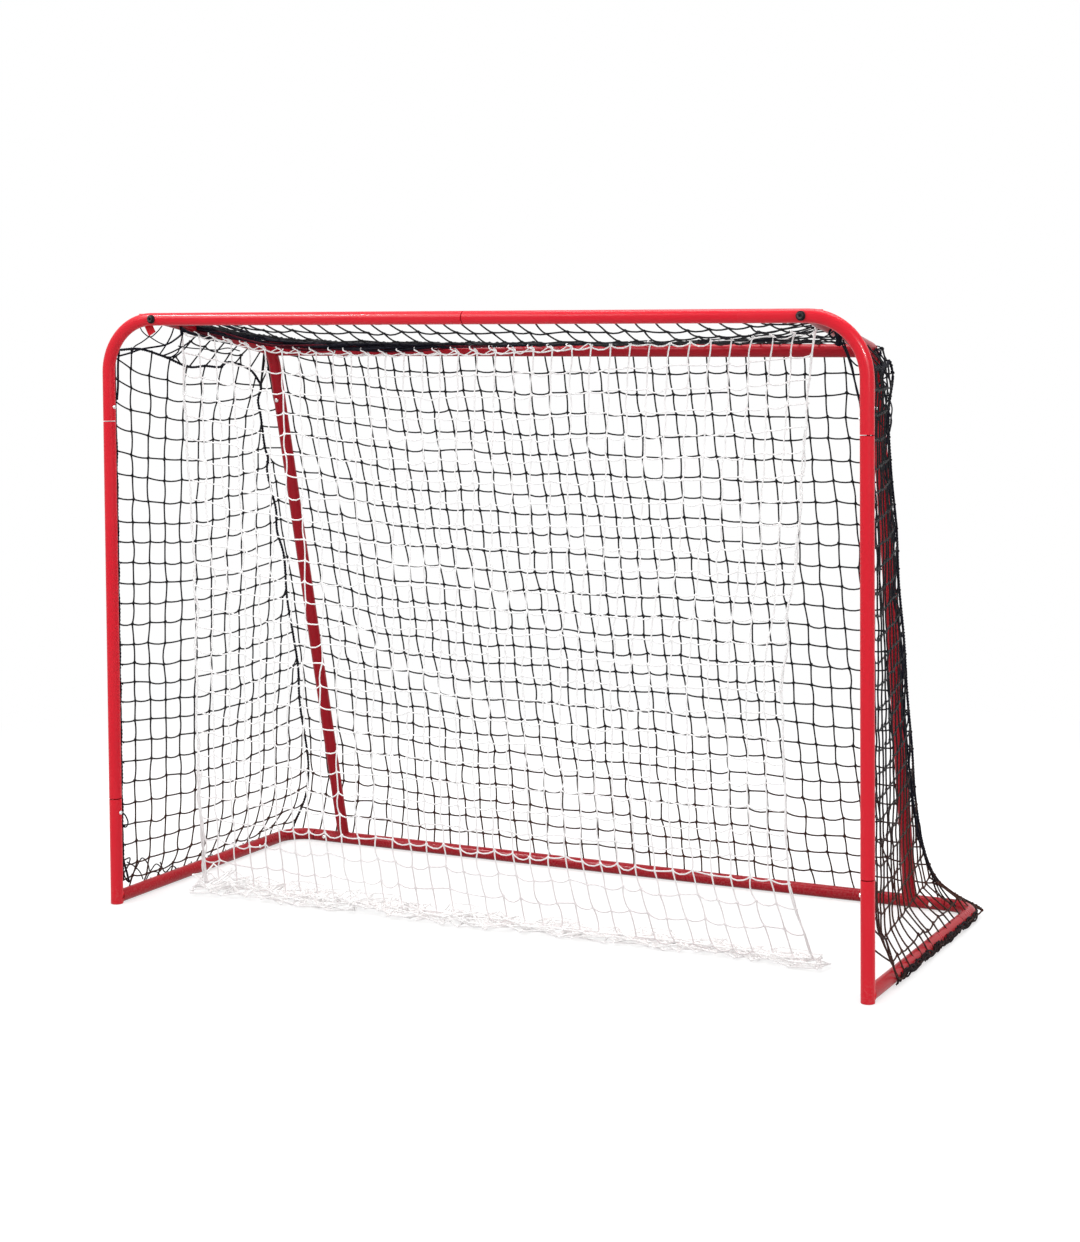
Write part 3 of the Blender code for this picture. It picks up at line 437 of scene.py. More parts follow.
def only(thing):
    deselect()
    thing.select_set(True)
    bpy.context.view_layer.objects.active = thing


def edit(action="DESELECT"):
    bpy.ops.object.mode_set(mode="EDIT")
    bpy.ops.mesh.select_all(action=action)


def leave_edit():
    bpy.ops.object.mode_set(mode="OBJECT")


def apply_now(thing, kind, **settings):
    """Adds a modifier and applies it at once."""
    modifier = thing.modifiers.new(kind.lower(), kind)
    for key, value in settings.items():
        setattr(modifier, key, value)
    only(thing)
    bpy.ops.object.modifier_apply(modifier=modifier.name)


def join(first, *others):
    only(first)
    for thing in others:
        thing.select_set(True)
    bpy.ops.object.join()
    return first


def settle(piece, node, body="frame"):
    """Puts a piece on its body and in the place of a CAD node, where it has one."""
    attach(piece, body)
    if node:
        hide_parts(node)
    return piece


def finish_piece(piece, material, node, body="frame", smooth=30):
    only(piece)
    bpy.ops.object.shade_smooth_by_angle(angle=math.radians(smooth))
    piece.data.materials.clear()
    piece.data.materials.append(material)
    return settle(piece, node, body)


def two_tone(piece, material, is_second):
    """Gives a second material to the faces whose middle passes the test."""
    piece.data.materials.append(material)
    for face in piece.data.polygons:
        face.material_index = 1 if is_second(face.center) else 0


# %% Drawing a tube
def pull(step):
    """Extrudes the selected edges or faces by a step."""
    bpy.ops.mesh.extrude_region_move(TRANSFORM_OT_translate={"value": tuple(step)})


def start_ring(name, centre, heading, radius, sides):
    deselect()
    bpy.ops.mesh.primitive_circle_add(
        vertices=sides, radius=radius, fill_type="NOTHING", location=centre,
        rotation=Vector(heading).to_track_quat("Z", "Y").to_euler())
    ring = bpy.context.object
    ring.name = ring.data.name = name
    bpy.ops.object.transform_apply(location=True, rotation=True, scale=True)
    edit("SELECT")
    return ring


def pull_past(here, end, stops):
    """Extrudes from here to the end, with a ring at each stop between them."""
    span = end - here
    marks = sorted(share for share in ((Vector(stop) - here).dot(span) / span.length_squared
                                       for stop in stops) if 0.001 < share < 0.999)
    before = 0.0
    for share in (*marks, 1.0):
        pull(span * (share - before))
        before = share


def bent_tube(name, corners, bends=(), stops=()):
    """A round tube skin through the corners. Each inner corner has its bend's radius."""
    corners = [Vector(corner) for corner in corners]
    heading = (corners[1] - corners[0]).normalized()
    tube = start_ring(name, corners[0], heading, TUBE_RADIUS, RING)
    here = corners[0]
    for number, corner in enumerate(corners[1:-1], 1):
        ahead = (corners[number + 1] - corner).normalized()
        turn = heading.angle(ahead)
        radius = bends[number - 1]
        reach = radius * math.tan(turn / 2)
        pull_past(here, corner - heading * reach, stops)
        axis = heading.cross(ahead).normalized()
        centre = corner - heading * reach + axis.cross(heading) * radius
        bpy.ops.mesh.spin(steps=max(4, round(turn / math.radians(5))), angle=-turn,
                          center=centre, axis=axis)
        here = corner + ahead * reach
        heading = ahead
    pull_past(here, corners[-1], stops)
    leave_edit()
    return tube


def select_near(tube, point, reach):
    """In edit mode, selects only what lies within reach of a point."""
    shape = bmesh.from_edit_mesh(tube.data)
    for face in shape.faces:
        face.select = False
    for edge in shape.edges:
        edge.select = False
    for vert in shape.verts:
        vert.select = (vert.co - point).length < reach
    for edge in shape.edges:
        edge.select = all(vert.select for vert in edge.verts)
    bmesh.update_edit_mesh(tube.data)


def swage(tube, end, outward):
    """Draws the end down to a plug that fits into the next tube."""
    end, outward = Vector(end), Vector(outward).normalized()
    edit()
    select_near(tube, end, TUBE_RADIUS + TOUCH)
    pull(outward * NECK)
    bpy.ops.transform.resize(value=(PLUG_RADIUS / TUBE_RADIUS,) * 3,
                             center_override=end + outward * NECK)
    pull(outward * PLUG_LENGTH)
    leave_edit()


def give_wall(tube):
    """Normals outwards, then the steel wall inwards."""
    only(tube)
    edit("SELECT")
    bpy.ops.mesh.remove_doubles(threshold=0.00001)
    bpy.ops.mesh.normals_make_consistent(inside=False)
    leave_edit()
    apply_now(tube, "SOLIDIFY", thickness=TUBE_WALL, offset=-1.0, use_even_offset=True)


def rod(centre, direction, radius, length, sides=28):
    deselect()
    bpy.ops.mesh.primitive_cylinder_add(
        vertices=sides, radius=radius, depth=length, location=centre,
        rotation=Vector(direction).to_track_quat("Z", "Y").to_euler())
    bpy.ops.object.transform_apply(location=True, rotation=True, scale=True)
    return bpy.context.object


def take_away(piece, cutter):
    """A boolean cut that is applied at once. The cutter is removed."""
    apply_now(piece, "BOOLEAN", operation="DIFFERENCE", object=cutter, solver="EXACT")
    bpy.data.objects.remove(cutter, do_unlink=True)


def drill(tube, centre, outward):
    """A hole for a snap button through one wall."""
    outward = Vector(outward).normalized()
    take_away(tube, rod(Vector(centre) + outward * DRILL_FROM, outward, BUTTON_HOLE,
                        DRILL_LENGTH))


def around(point, direction, gap=0.009):
    """Two stops, one on each side of a hole, so that its shading stays local."""
    direction = Vector(direction).normalized()
    return [Vector(point) + direction * gap, Vector(point) - direction * gap]


def tube_section(name, corners, bends=(), stops=(), plugs=(), holes=()):
    """A length of tube with its plugs, its wall and its holes, each a place and a direction."""
    tube = bent_tube(name, corners, bends, stops)
    for end, outward in plugs:
        swage(tube, end, outward)
    give_wall(tube)
    for pin, outward in holes:
        drill(tube, pin, outward)
    return tube


# %% [markdown]
# ### Crossbar and posts
# The crossbar is in two halves, each bent down at its end into the head of a post. The post
# is a straight length with a plug at each end, and the base side has the post's foot with
# the side tube welded behind it.

# %% Crossbar halves
crossbar_pin = (CROSSBAR_SEAM - BUTTON_FROM_SEAM, POST_Y, CROSSBAR_Z)
for side, sign in SIDES.items():
    start = (CROSSBAR_SEAM + (SEAM_GAP + NECK if side == "right" else 0), POST_Y, CROSSBAR_Z)
    bolt_at = (sign * ARM_X, POST_Y, CROSSBAR_Z)
    pin = (sign * POST_X, POST_Y, UPPER_SEAM + BUTTON_FROM_SEAM)
    stops = around(bolt_at, (1, 0, 0), 0.008) + around(pin, (0, 0, 1))
    plugs, holes = [], [(pin, (-sign, 0, 0))]
    if side == "left":
        stops += around(crossbar_pin, (1, 0, 0))
        holes.insert(0, (crossbar_pin, (0, 1, 0)))
    else:
        plugs.append((start, (-1, 0, 0)))
    tube = tube_section(side + "_crossbar_tube",
                        [start, (sign * POST_X, POST_Y, CROSSBAR_Z),
                         (sign * POST_X, POST_Y, UPPER_SEAM)], [CROSSBAR_BEND], stops, plugs, holes)
    take_away(tube, rod(bolt_at, (0, 1, 0), BOLT_HOLE, THROUGH, 20))
    finish_piece(tube, BRIGHT_RED, side + "_crossbar_half")

# %% Posts
for side, sign in SIDES.items():
    head = Vector((sign * POST_X, POST_Y, UPPER_SEAM - SEAM_GAP - NECK))
    foot = Vector((sign * POST_X, POST_Y, LOWER_SEAM + SEAM_GAP + NECK))
    tube = tube_section(side + "_post_tube", [head, foot], stops=[head.lerp(foot, 0.5)],
                        plugs=((head, (0, 0, 1)), (foot, (0, 0, -1))))
    finish_piece(tube, BRIGHT_RED, side + "_post")

# %% Base sides: foot, side tube and the weld between them
FOOT_ROUND, FOOT_STOP_Z, SIDE_FROM_FOOT, COPE = 0.0026, 0.034, 0.009, 0.0004


def weld_bead(name, points, closed=False):
    """A thin raised bead of weld along a line of points."""
    curve = bpy.data.curves.new(name, "CURVE")
    curve.dimensions = "3D"
    curve.bevel_depth = WELD
    curve.bevel_resolution = 2
    curve.use_fill_caps = not closed
    spline = curve.splines.new("POLY")
    spline.points.add(len(points) - 1)
    for number, (spot, point) in enumerate(zip(spline.points, points)):
        spot.co = (*point, 1.0)
        spot.radius = 1.0 + 0.16 * math.sin(number * 1.9)
    spline.use_cyclic_u = closed
    only(place_object(name, curve))
    bpy.ops.object.convert(target="MESH")
    return bpy.context.object


def side_weld(x):
    """The line where the side tube meets the foot, kept above the floor."""
    line = []
    for step in range(41):
        angle = math.radians(-178 + 356 * step / 40) + math.pi / 2
        across, rise = TUBE_RADIUS * math.cos(angle), TUBE_RADIUS * math.sin(angle)
        deep = math.sqrt(max(TUBE_RADIUS ** 2 - across ** 2, 0.0))
        line.append(Vector((x + across * 1.01, POST_Y + deep + COPE,
                            max(BASE_Z + rise, WELD))))
    return line


for side, sign in SIDES.items():
    x = sign * POST_X
    foot = Vector((x, POST_Y, 0.0))
    pin = Vector((x, POST_Y, LOWER_SEAM - BUTTON_FROM_SEAM))
    tube = bent_tube(side + "_base_tube", [(x, POST_Y, LOWER_SEAM), foot], (),
                     around(pin, (0, 0, 1)) + [(x, POST_Y, FOOT_STOP_Z)])
    edit()
    select_near(tube, foot, TUBE_RADIUS + TOUCH)
    for keep in (0.985, 0.93):
        pull((0, 0, 0))
        bpy.ops.transform.resize(value=(keep, keep, 1), center_override=foot)
    bpy.ops.mesh.edge_face_add()
    leave_edit()
    give_wall(tube)
    apply_now(tube, "BEVEL", width=FOOT_ROUND, segments=4, limit_method="ANGLE",
              angle_limit=math.radians(60))
    seam = Vector((x, SIDE_SEAM_Y, BASE_Z))
    side_pin = seam - Vector((0, BUTTON_FROM_SEAM, 0))
    back = tube_section(side + "_side", [(x, POST_Y + SIDE_FROM_FOOT, BASE_Z), seam],
                        stops=around(side_pin, (0, 1, 0)))
    take_away(back, rod(Vector((x, POST_Y, 0.05)), (0, 0, 1), TUBE_RADIUS - COPE, 0.12, RING))
    drill(tube, pin, (-sign, 0, 0))
    drill(back, side_pin, (-sign, 0, 0))
    join(tube, back, weld_bead(side + "_weld", side_weld(x)))
    finish_piece(tube, BRIGHT_RED, side + "_base_side")
    # Faces behind the foot take the darker red: painted shade on the side tube.
    two_tone(tube, SIDE_TUBE_SHADE_RED, lambda middle: middle.y > POST_Y + 0.02)

# %% [markdown]
# ### Rear of the frame
# The rear tubes are a deeper red, partly because they stand in the shade of the nets. Two
# bent corners plug into the side tubes and the rear bar. Two arms run back from the
# crossbar, turn down in a bend, and become the sloping uprights.

# %% Rear corners and rear bar
for side, sign in SIDES.items():
    start = Vector((sign * POST_X, SIDE_SEAM_Y + SEAM_GAP + NECK, BASE_Z))
    end = Vector((sign * (REAR_SEAM_X + SEAM_GAP + NECK), REAR_Y, BASE_Z))
    tube = tube_section(side + "_rear_corner_tube",
                        [start, (sign * POST_X, REAR_Y, BASE_Z), end], [BASE_BEND],
                        plugs=((start, (0, -1, 0)), (end, (-sign, 0, 0))))
    finish_piece(tube, DEEP_RED, side + "_rear_corner")

pins = [Vector((sign * (REAR_SEAM_X - BUTTON_FROM_SEAM), REAR_Y, BASE_Z)) for sign in (-1, 1)]
rear_bar = tube_section("rear_bar_tube",
                        [(sign * REAR_SEAM_X, REAR_Y, BASE_Z) for sign in (-1, 1)],
                        stops=[stop for pin in pins for stop in around(pin, (1, 0, 0))],
                        holes=[(pin, (0, -1, 0)) for pin in pins])
finish_piece(rear_bar, DEEP_RED, "rear_base_bar")


# %% Arms, roof bends and uprights
def foot_weld(base, down):
    """The line where a sloping upright meets the rear bar, found by halving."""
    line = []
    ahead = down.cross(Vector((1, 0, 0))).normalized()
    beside = ahead.cross(down).normalized()
    for step in range(36):
        angle = 2 * math.pi * step / 36
        rim = base + (ahead * math.cos(angle) + beside * math.sin(angle)) * (TUBE_RADIUS + TOUCH)
        low, high = 0.0, 0.04
        for _ in range(22):
            half = (low + high) / 2
            spot = rim - down * half
            off = math.hypot(spot.y - REAR_Y, spot.z - BASE_Z)
            low, high = (half, high) if off < TUBE_RADIUS + TOUCH else (low, half)
        line.append(rim - down * high)
    return line


button_places = {}
for side, sign in SIDES.items():
    start = Vector((sign * ARM_X, POST_Y + TUBE_RADIUS + ARM_STANDS_OFF, CROSSBAR_Z))
    knee = Vector((sign * ARM_X, POST_Y + ARM_KNEE, CROSSBAR_Z))
    corner = Vector((sign * ROOF_X, ROOF_Y, ROOF_Z))
    base = Vector((sign * FOOT_X, REAR_Y, BASE_Z))
    down = (base - corner).normalized()
    seam = corner + (base - corner) * ((ROOF_Z - UPRIGHT_SEAM_Z) / (ROOF_Z - BASE_Z))
    forward = Vector((0, -1, 0))
    outward = (forward - down * forward.dot(down)).normalized()
    pin = seam - down * BUTTON_FROM_SEAM
    button_places[side + "_upright_snap_button"] = (pin, -down, outward)
    tube = tube_section(side + "_arm_tube", [start, knee, corner, seam], [ARM_BEND, ARM_BEND],
                        around(pin, down), holes=[(pin, outward)])
    finish_piece(tube, DEEP_RED, side + "_roof_bend")
    top = seam + down * (SEAM_GAP + NECK)
    tube = tube_section(side + "_upright_tube", [top, base], stops=[top.lerp(base, 0.5)],
                        plugs=[(top, -down)])
    take_away(tube, rod(base, (1, 0, 0), TUBE_RADIUS - 0.0003, 0.1, RING))
    join(tube, weld_bead(side + "_foot_weld", foot_weld(base, down), True))
    finish_piece(tube, DEEP_RED, side + "_upright")

# %% Roof bar, whose ends stand inside both bends
tube = tube_section("roof_bar_tube",
                    [(sign * (ROOF_X - TOUCH), ROOF_Y, ROOF_Z) for sign in (-1, 1)])
finish_piece(tube, DEEP_RED, "rear_roof_bar")

# %% [markdown]
# ## Fittings
# A snap button is a domed pin on a leaf spring inside the plug. Only the dome shows. It is
# modelled once and copied to all eleven places. The two bolts have black button heads with
# hex sockets, on black washers shaped to the tube.

# %% Snap buttons
PIN_RADIUS, BUTTON_PROUD, DOME_HIGH = 0.004, 0.0025, 0.0018
DOME = ((0.0007, 0.93), (0.0006, 0.84), (0.00035, 0.68), (0.00015, 0.4))
LEAF_X, LEAF_LENGTH, LEAF_HALF_WIDE, LEAF_HALF_DEEP = 0.0134, 0.0372, 0.003, 0.0004


def select_faces(piece, test):
    """In edit mode, selects the faces whose normal passes the test."""
    shape = bmesh.from_edit_mesh(piece.data)
    for face in shape.faces:
        face.select = bool(test(face.normal))
    shape.select_flush(True)
    bmesh.update_edit_mesh(piece.data)


def make_button():
    """A domed pin that points up, on a leaf spring that runs along X inside the plug."""
    seat = math.sqrt((PLUG_RADIUS - TUBE_WALL) ** 2 - LEAF_HALF_WIDE ** 2) - 0.0003
    shoulder = TUBE_RADIUS + BUTTON_PROUD - DOME_HIGH
    pin = rod((0, 0, (seat - LEAF_HALF_DEEP + shoulder) / 2), (0, 0, 1), PIN_RADIUS,
              shoulder - seat + LEAF_HALF_DEEP, 24)
    pin.name = pin.data.name = "button_pattern"
    edit()
    select_faces(pin, lambda normal: normal.z > 0.9)
    for rise, keep in DOME:
        pull((0, 0, rise))
        bpy.ops.transform.resize(value=(keep, keep, 1), center_override=(0, 0, 0))
    leave_edit()
    deselect()
    bpy.ops.mesh.primitive_cube_add(size=1, location=(LEAF_X, 0, seat - LEAF_HALF_DEEP),
                                    scale=(LEAF_LENGTH, 2 * LEAF_HALF_WIDE, 2 * LEAF_HALF_DEEP))
    leaf = bpy.context.object
    bpy.ops.object.transform_apply(location=True, rotation=True, scale=True)
    edit("SELECT")
    bpy.ops.mesh.bevel(offset=0.00025, segments=2, affect="EDGES")
    leave_edit()
    return join(pin, leaf)


# Each button: the middle of its hole, the way its spring runs, and the way it points.
button_places["crossbar_snap_button"] = (Vector(crossbar_pin), Vector((-1, 0, 0)),
                                         Vector((0, 1, 0)))
for side, sign in SIDES.items():
    inward = Vector((-sign, 0, 0))
    x = sign * POST_X
    for name, place, along, outward in (
            ("post_upper", (x, POST_Y, UPPER_SEAM + BUTTON_FROM_SEAM), (0, 0, 1), inward),
            ("post_lower", (x, POST_Y, LOWER_SEAM - BUTTON_FROM_SEAM), (0, 0, -1), inward),
            ("side_tube", (x, SIDE_SEAM_Y - BUTTON_FROM_SEAM, BASE_Z), (0, -1, 0), inward),
            ("rear_bar", (sign * (REAR_SEAM_X - BUTTON_FROM_SEAM), REAR_Y, BASE_Z),
             inward, (0, -1, 0))):
        button_places[f"{side}_{name}_snap_button"] = (Vector(place), Vector(along),
                                                       Vector(outward))

pattern = make_button()
for name, (pin, along, outward) in button_places.items():
    copy = place_object(name + "_dome", pattern.data.copy())
    across = outward.cross(along).normalized()
    turn = Matrix((along, across, outward)).transposed().to_4x4()
    copy.data.transform(Matrix.Translation(pin) @ turn)
    finish_piece(copy, ZINC, name, name.replace("_snap", ""), 40)
bpy.data.objects.remove(pattern, do_unlink=True)
print("snap buttons:", len(button_places))

# %% Bolts and washers
WASHER_RADIUS, WASHER_DEEP, HEAD_RADIUS, HEAD_DEEP = 0.0085, 0.0064, 0.0065, 0.0032
SOCKET_RADIUS, SOCKET_DEEP, SHANK_RADIUS, SHANK_LENGTH = 0.0025, 0.0042, 0.0030, 0.0400
RIM_FROM, RIM_TO, WASHER_HOLE, WASHER_PROUD = 0.0026, 0.0050, 0.0032, 0.0025


def round_off(piece, test, offset, segments):
    """Bevels the rim of the faces whose normal passes the test."""
    edit()
    select_faces(piece, test)
    bpy.ops.mesh.bevel(offset=offset, segments=segments, affect="EDGES")
    leave_edit()


def make_washer(centre):
    washer = rod(centre - Vector((0, 0.0118, 0)), (0, 1, 0), WASHER_RADIUS, WASHER_DEEP, 40)
    round_off(washer, lambda normal: normal.y < -0.9, 0.0009, 4)
    take_away(washer, rod(centre, (1, 0, 0), TUBE_RADIUS + 0.0001, THROUGH, 64))
    take_away(washer, rod(centre, (0, 1, 0), WASHER_HOLE, THROUGH, 24))
    return washer


def make_bolt(centre):
    head_y = -(TUBE_RADIUS + WASHER_PROUD)
    bolt = rod(centre + Vector((0, head_y - HEAD_DEEP / 2, 0)), (0, 1, 0), HEAD_RADIUS,
               HEAD_DEEP, 36)
    round_off(bolt, lambda normal: normal.y < -0.9, 0.0019, 6)
    take_away(bolt, rod(centre + Vector((0, head_y - HEAD_DEEP, 0)), (0, 1, 0), SOCKET_RADIUS,
                        SOCKET_DEEP, 6))
    shank = rod(centre + Vector((0, 0.0045, 0)), (0, 1, 0), SHANK_RADIUS, SHANK_LENGTH, 20)
    round_off(shank, lambda normal: normal.y > 0.9, 0.0006, 2)
    return join(bolt, shank)


for side, sign in SIDES.items():
    centre = Vector((sign * ARM_X, POST_Y, CROSSBAR_Z))
    washer = make_washer(centre)
    washer.name = washer.data.name = side + "_washer"
    finish_piece(washer, BLACK_PLASTIC_AND_BOLT_SHADE, side + "_saddle_washer")
    bolt = make_bolt(centre)
    bolt.name = bolt.data.name = side + "_bolt"
    finish_piece(bolt, BLACK_STEEL, side + "_arm_bolt", smooth=35)
    # The bolt's hex socket and the rounded edge of its head take the near-black plastic as painted
    # shade; only the ring between them keeps the black steel.
    two_tone(bolt, BLACK_PLASTIC_AND_BOLT_SHADE, lambda middle: not (
        RIM_FROM <= math.hypot(middle.x - centre.x, middle.z - centre.z) <= RIM_TO))
    for node, material in ((side + "_arm_end_plate", BRIGHT_RED), (side + "_arm_nut", ZINC)):
        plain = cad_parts[node].data.materials
        plain.clear()
        plain.append(material)

# %% [markdown]
# ## Knotted nets
# The outer net is a black square mesh of about 39 mm, thrown over the frame and laced to it.
# Every mesh has a knot at each corner and a strand along each side. A strand and a knot are
# modelled once and repeated with an array. Then each copy is carried to its place on the
# net's surface, and sags a little under its own weight, which no flat grid would do.

# %% Patterns of one strand and one knot
BLACK_STRAND, WHITE_STRAND, KNOT_SIZE = 0.00173, 0.0015, 1.75
ENTRY_SWELL = 1.12


def make_strand(radius, sides=5):
    """One strand, from 0 to 1 along X, thicker where it enters the knots."""
    strand = start_ring("strand_pattern", (0, 0, 0), (1, 0, 0), radius * ENTRY_SWELL, sides)
    before = 0.0
    for share, swell in ((0.16, 0.90), (0.36, 0.93), (0.64, 1.0), (0.84, 1.07), (1.0, 1.12)):
        pull((share - before, 0, 0))
        bpy.ops.transform.resize(value=(1, swell, swell), center_override=(share, 0, 0))
        before = share
    leave_edit()
    return strand


def make_knot(radius):
    """One knot: a lump pinched across, like two loops pulled tight."""
    deselect()
    bpy.ops.mesh.primitive_ico_sphere_add(subdivisions=2, radius=radius * KNOT_SIZE)
    knot = bpy.context.object
    knot.name = knot.data.name = "knot_pattern"
    edit("SELECT")
    bpy.ops.transform.resize(value=(1.30, 1.0, 0.86))
    shape = bmesh.from_edit_mesh(knot.data)
    for vert in shape.verts:
        waist = max(0.0, 1 - abs(vert.co.x) / (radius * 0.9))
        vert.co.y *= 1 - 0.18 * waist
        vert.co.z *= 1 - 0.22 * waist
    bmesh.update_edit_mesh(knot.data)
    bpy.ops.transform.rotate(value=math.radians(38), orient_axis="Z", center_override=(0, 0, 0))
    leave_edit()
    return knot


# %% Carrying the copies to their places
def read_points(mesh):
    flat = np.zeros(len(mesh.vertices) * 3, np.float32)
    mesh.vertices.foreach_get("co", flat)
    return flat.reshape(-1, 3).astype(float)


def write_copies(piece, points, lay):
    """Moves the repeated copies and writes the yarn's own coordinates."""
    piece.data.vertices.foreach_set("co", points.reshape(-1, 3).astype(np.float32).ravel())
    piece.data.update()
    write_yarn(piece.data, lay.reshape(-1, 3))


def write_yarn(mesh, values):
    layer = mesh.attributes.new("yarn", "FLOAT_VECTOR", "POINT")
    layer.data.foreach_set("vector", values.astype(np.float32).ravel())


def unit(vectors):
    return vectors / np.maximum(np.linalg.norm(vectors, axis=-1, keepdims=True), 1e-9)


def carry_strands(starts, ends, facing, radius, sag, dice):
    """Every strand of a net, bowed to the side and hanging a little."""
    count = len(starts)
    strand = make_strand(radius)
    local = read_points(strand.data)
    apply_now(strand, "ARRAY", count=count, use_merge_vertices=False)
    share = np.clip(local[:, 0], 0, 1)
    along = ends - starts
    length = np.linalg.norm(along, axis=1)
    heading = unit(along)
    normal = np.broadcast_to(facing, heading.shape)
    beside = unit(np.cross(normal, heading))
    proud = np.cross(heading, beside)
    level_part = np.clip(1 - np.abs(heading[:, 2]), 0, 1)
    drop = sag * (0.4 + level_part) * dice.uniform(0.3, 1.3, count)
    sway = dice.normal(0, sag * 0.45, (count, 2))
    bow = (4 * share * (1 - share))[None, :, None]
    points = starts[:, None] + along[:, None] * share[None, :, None]
    points = points + bow * (beside * sway[:, :1] + proud * sway[:, 1:])[:, None]
    points[:, :, 2] -= bow[:, :, 0] * drop[:, None]
    points = points + beside[:, None] * local[None, :, 1:2] + proud[:, None] * local[None, :, 2:3]
    angle = np.arctan2(local[:, 2], local[:, 1])
    lay = np.stack([np.broadcast_to(np.cos(angle), (count, len(local))),
                    np.broadcast_to(np.sin(angle), (count, len(local))),
                    share[None] * length[:, None] + dice.uniform(0, 1, (count, 1))], axis=2)
    write_copies(strand, points, lay)
    return strand


def carry_knots(knots, facing, radius, dice):
    """Every knot of a net, turned in the net's plane and of uneven size."""
    count = len(knots)
    knot = make_knot(radius)
    form = read_points(knot.data)
    apply_now(knot, "ARRAY", count=count, use_merge_vertices=False)
    face = unit(facing)
    across = unit(np.cross(face, (0.0, 0.0, 1.0) if abs(face[2]) < 0.9 else (0, 1, 0)))
    upward = np.cross(face, across)
    turn = dice.uniform(-0.5, 0.5, count) + (dice.integers(0, 2, count) * math.pi / 2)
    size = dice.uniform(0.88, 1.14, count)
    cos, sin = (np.cos(turn) * size)[:, None], (np.sin(turn) * size)[:, None]
    flat_x = form[None, :, 0] * cos - form[None, :, 1] * sin
    flat_y = form[None, :, 0] * sin + form[None, :, 1] * cos
    lump = (knots[:, None] + flat_x[..., None] * across + flat_y[..., None] * upward
            + (form[None, :, 2] * size[:, None])[..., None] * face)
    angle = np.arctan2(form[:, 2], form[:, 1])
    lay = np.stack([np.cos(angle), np.sin(angle), form[:, 0]], axis=1)
    write_copies(knot, lump, np.tile(lay, (count, 1)))
    return knot


def knotted_net(name, starts, ends, knots, facing, radius, material, sag=0.0022, seed=1):
    """A net from strands between starts and ends, and knots. facing is the net's normal."""
    dice = np.random.default_rng(seed)
    starts, ends, knots, facing = (np.asarray(x, float) for x in (starts, ends, knots, facing))
    net = join(carry_strands(starts, ends, facing, radius, sag, dice),
               carry_knots(knots, facing, radius, dice))
    net.name = net.data.name = name
    net.data.materials.clear()
    net.data.materials.append(material)
    only(net)
    bpy.ops.object.shade_smooth()
    print(name, "strands", len(starts), "knots", len(knots), "triangles",
          sum(len(face.vertices) - 2 for face in net.data.polygons))
    return net


# %% [markdown]
# ### Corner cords
# The net's four panels meet along a thicker cord that runs back under each arm, round the
# roof corner and down to the rear corner of the base. On the left it wanders, because the
# net pulls it inwards at every mesh. Its route was read from the photograph and laid on the
# planes in which the cord hangs.


# %% Smooth routes and laid cords
def smooth_route(knots, step=0.006):
    """A smooth curve through the knots, with points about a step apart."""
    knots = [Vector(knot) for knot in knots]
    ends = [2 * knots[0] - knots[1], *knots, 2 * knots[-1] - knots[-2]]
    route = []
    for p0, p1, p2, p3 in zip(ends, ends[1:], ends[2:], ends[3:]):
        pieces = max(1, round((p2 - p1).length / step))
        for number in range(pieces):
            t = number / pieces
            route.append(0.5 * (2 * p1 + (p2 - p0) * t + (2 * p0 - 5 * p1 + 4 * p2 - p3) * t ** 2
                                + (3 * p1 - p0 - 3 * p2 + p3) * t ** 3))
    route.append(knots[-1])
    return route


def follow(route):
    """A route as an array, with the heading and the length run so far at each point."""
    points = np.array([tuple(point) for point in route])
    steps = np.linalg.norm(np.diff(points, axis=0), axis=1)
    return points, unit(np.gradient(points, axis=0)), np.concatenate([[0], np.cumsum(steps)])


def frames_along(heading):
    """Two directions across a route at each point, carried along it without a twist."""
    side_way = np.zeros_like(heading)
    first = np.cross(heading[0], (0, 0, 1))
    if np.linalg.norm(first) < 0.2:
        first = np.cross(heading[0], (1, 0, 0))
    side_way[0] = unit(first)
    for number in range(1, len(heading)):
        last = side_way[number - 1]
        side_way[number] = unit(last - heading[number] * (last @ heading[number]))
    return side_way, np.cross(heading, side_way)


def lay_cords(name, runs, material, sides=6):
    """Cords as one mesh. A run is (points, radius); its yarn coordinates follow it."""
    verts, faces, lays = [], [], []
    turns = [(math.cos(2 * math.pi * step / sides), math.sin(2 * math.pi * step / sides))
             for step in range(sides)]
    for route, radius in runs:
        points, heading, along = follow(route)
        side_way, other = frames_along(heading)
        base, last = len(verts), len(verts) + (len(points) - 1) * sides
        for number, point in enumerate(points):
            for cos, sin in turns:
                verts.append(point + radius * (side_way[number] * cos + other[number] * sin))
                lays.append((cos, sin, along[number]))
        for low in range(base, last, sides):
            for step in range(sides):
                right = (step + 1) % sides
                faces.append((low + step, low + right, low + sides + right, low + sides + step))
        faces.append(tuple(base + step for step in reversed(range(sides))))
        faces.append(tuple(last + step for step in range(sides)))
    mesh = bpy.data.meshes.new(name)
    mesh.from_pydata([tuple(vert) for vert in verts], [], faces)
    write_yarn(mesh, np.array(lays))
    mesh.materials.append(material)
    mesh.shade_smooth()
    return place_object(name, mesh)


def lay_black(name, runs, node=None, material=BLACK_ROPE):
    settle(lay_cords(name, runs, material), node)


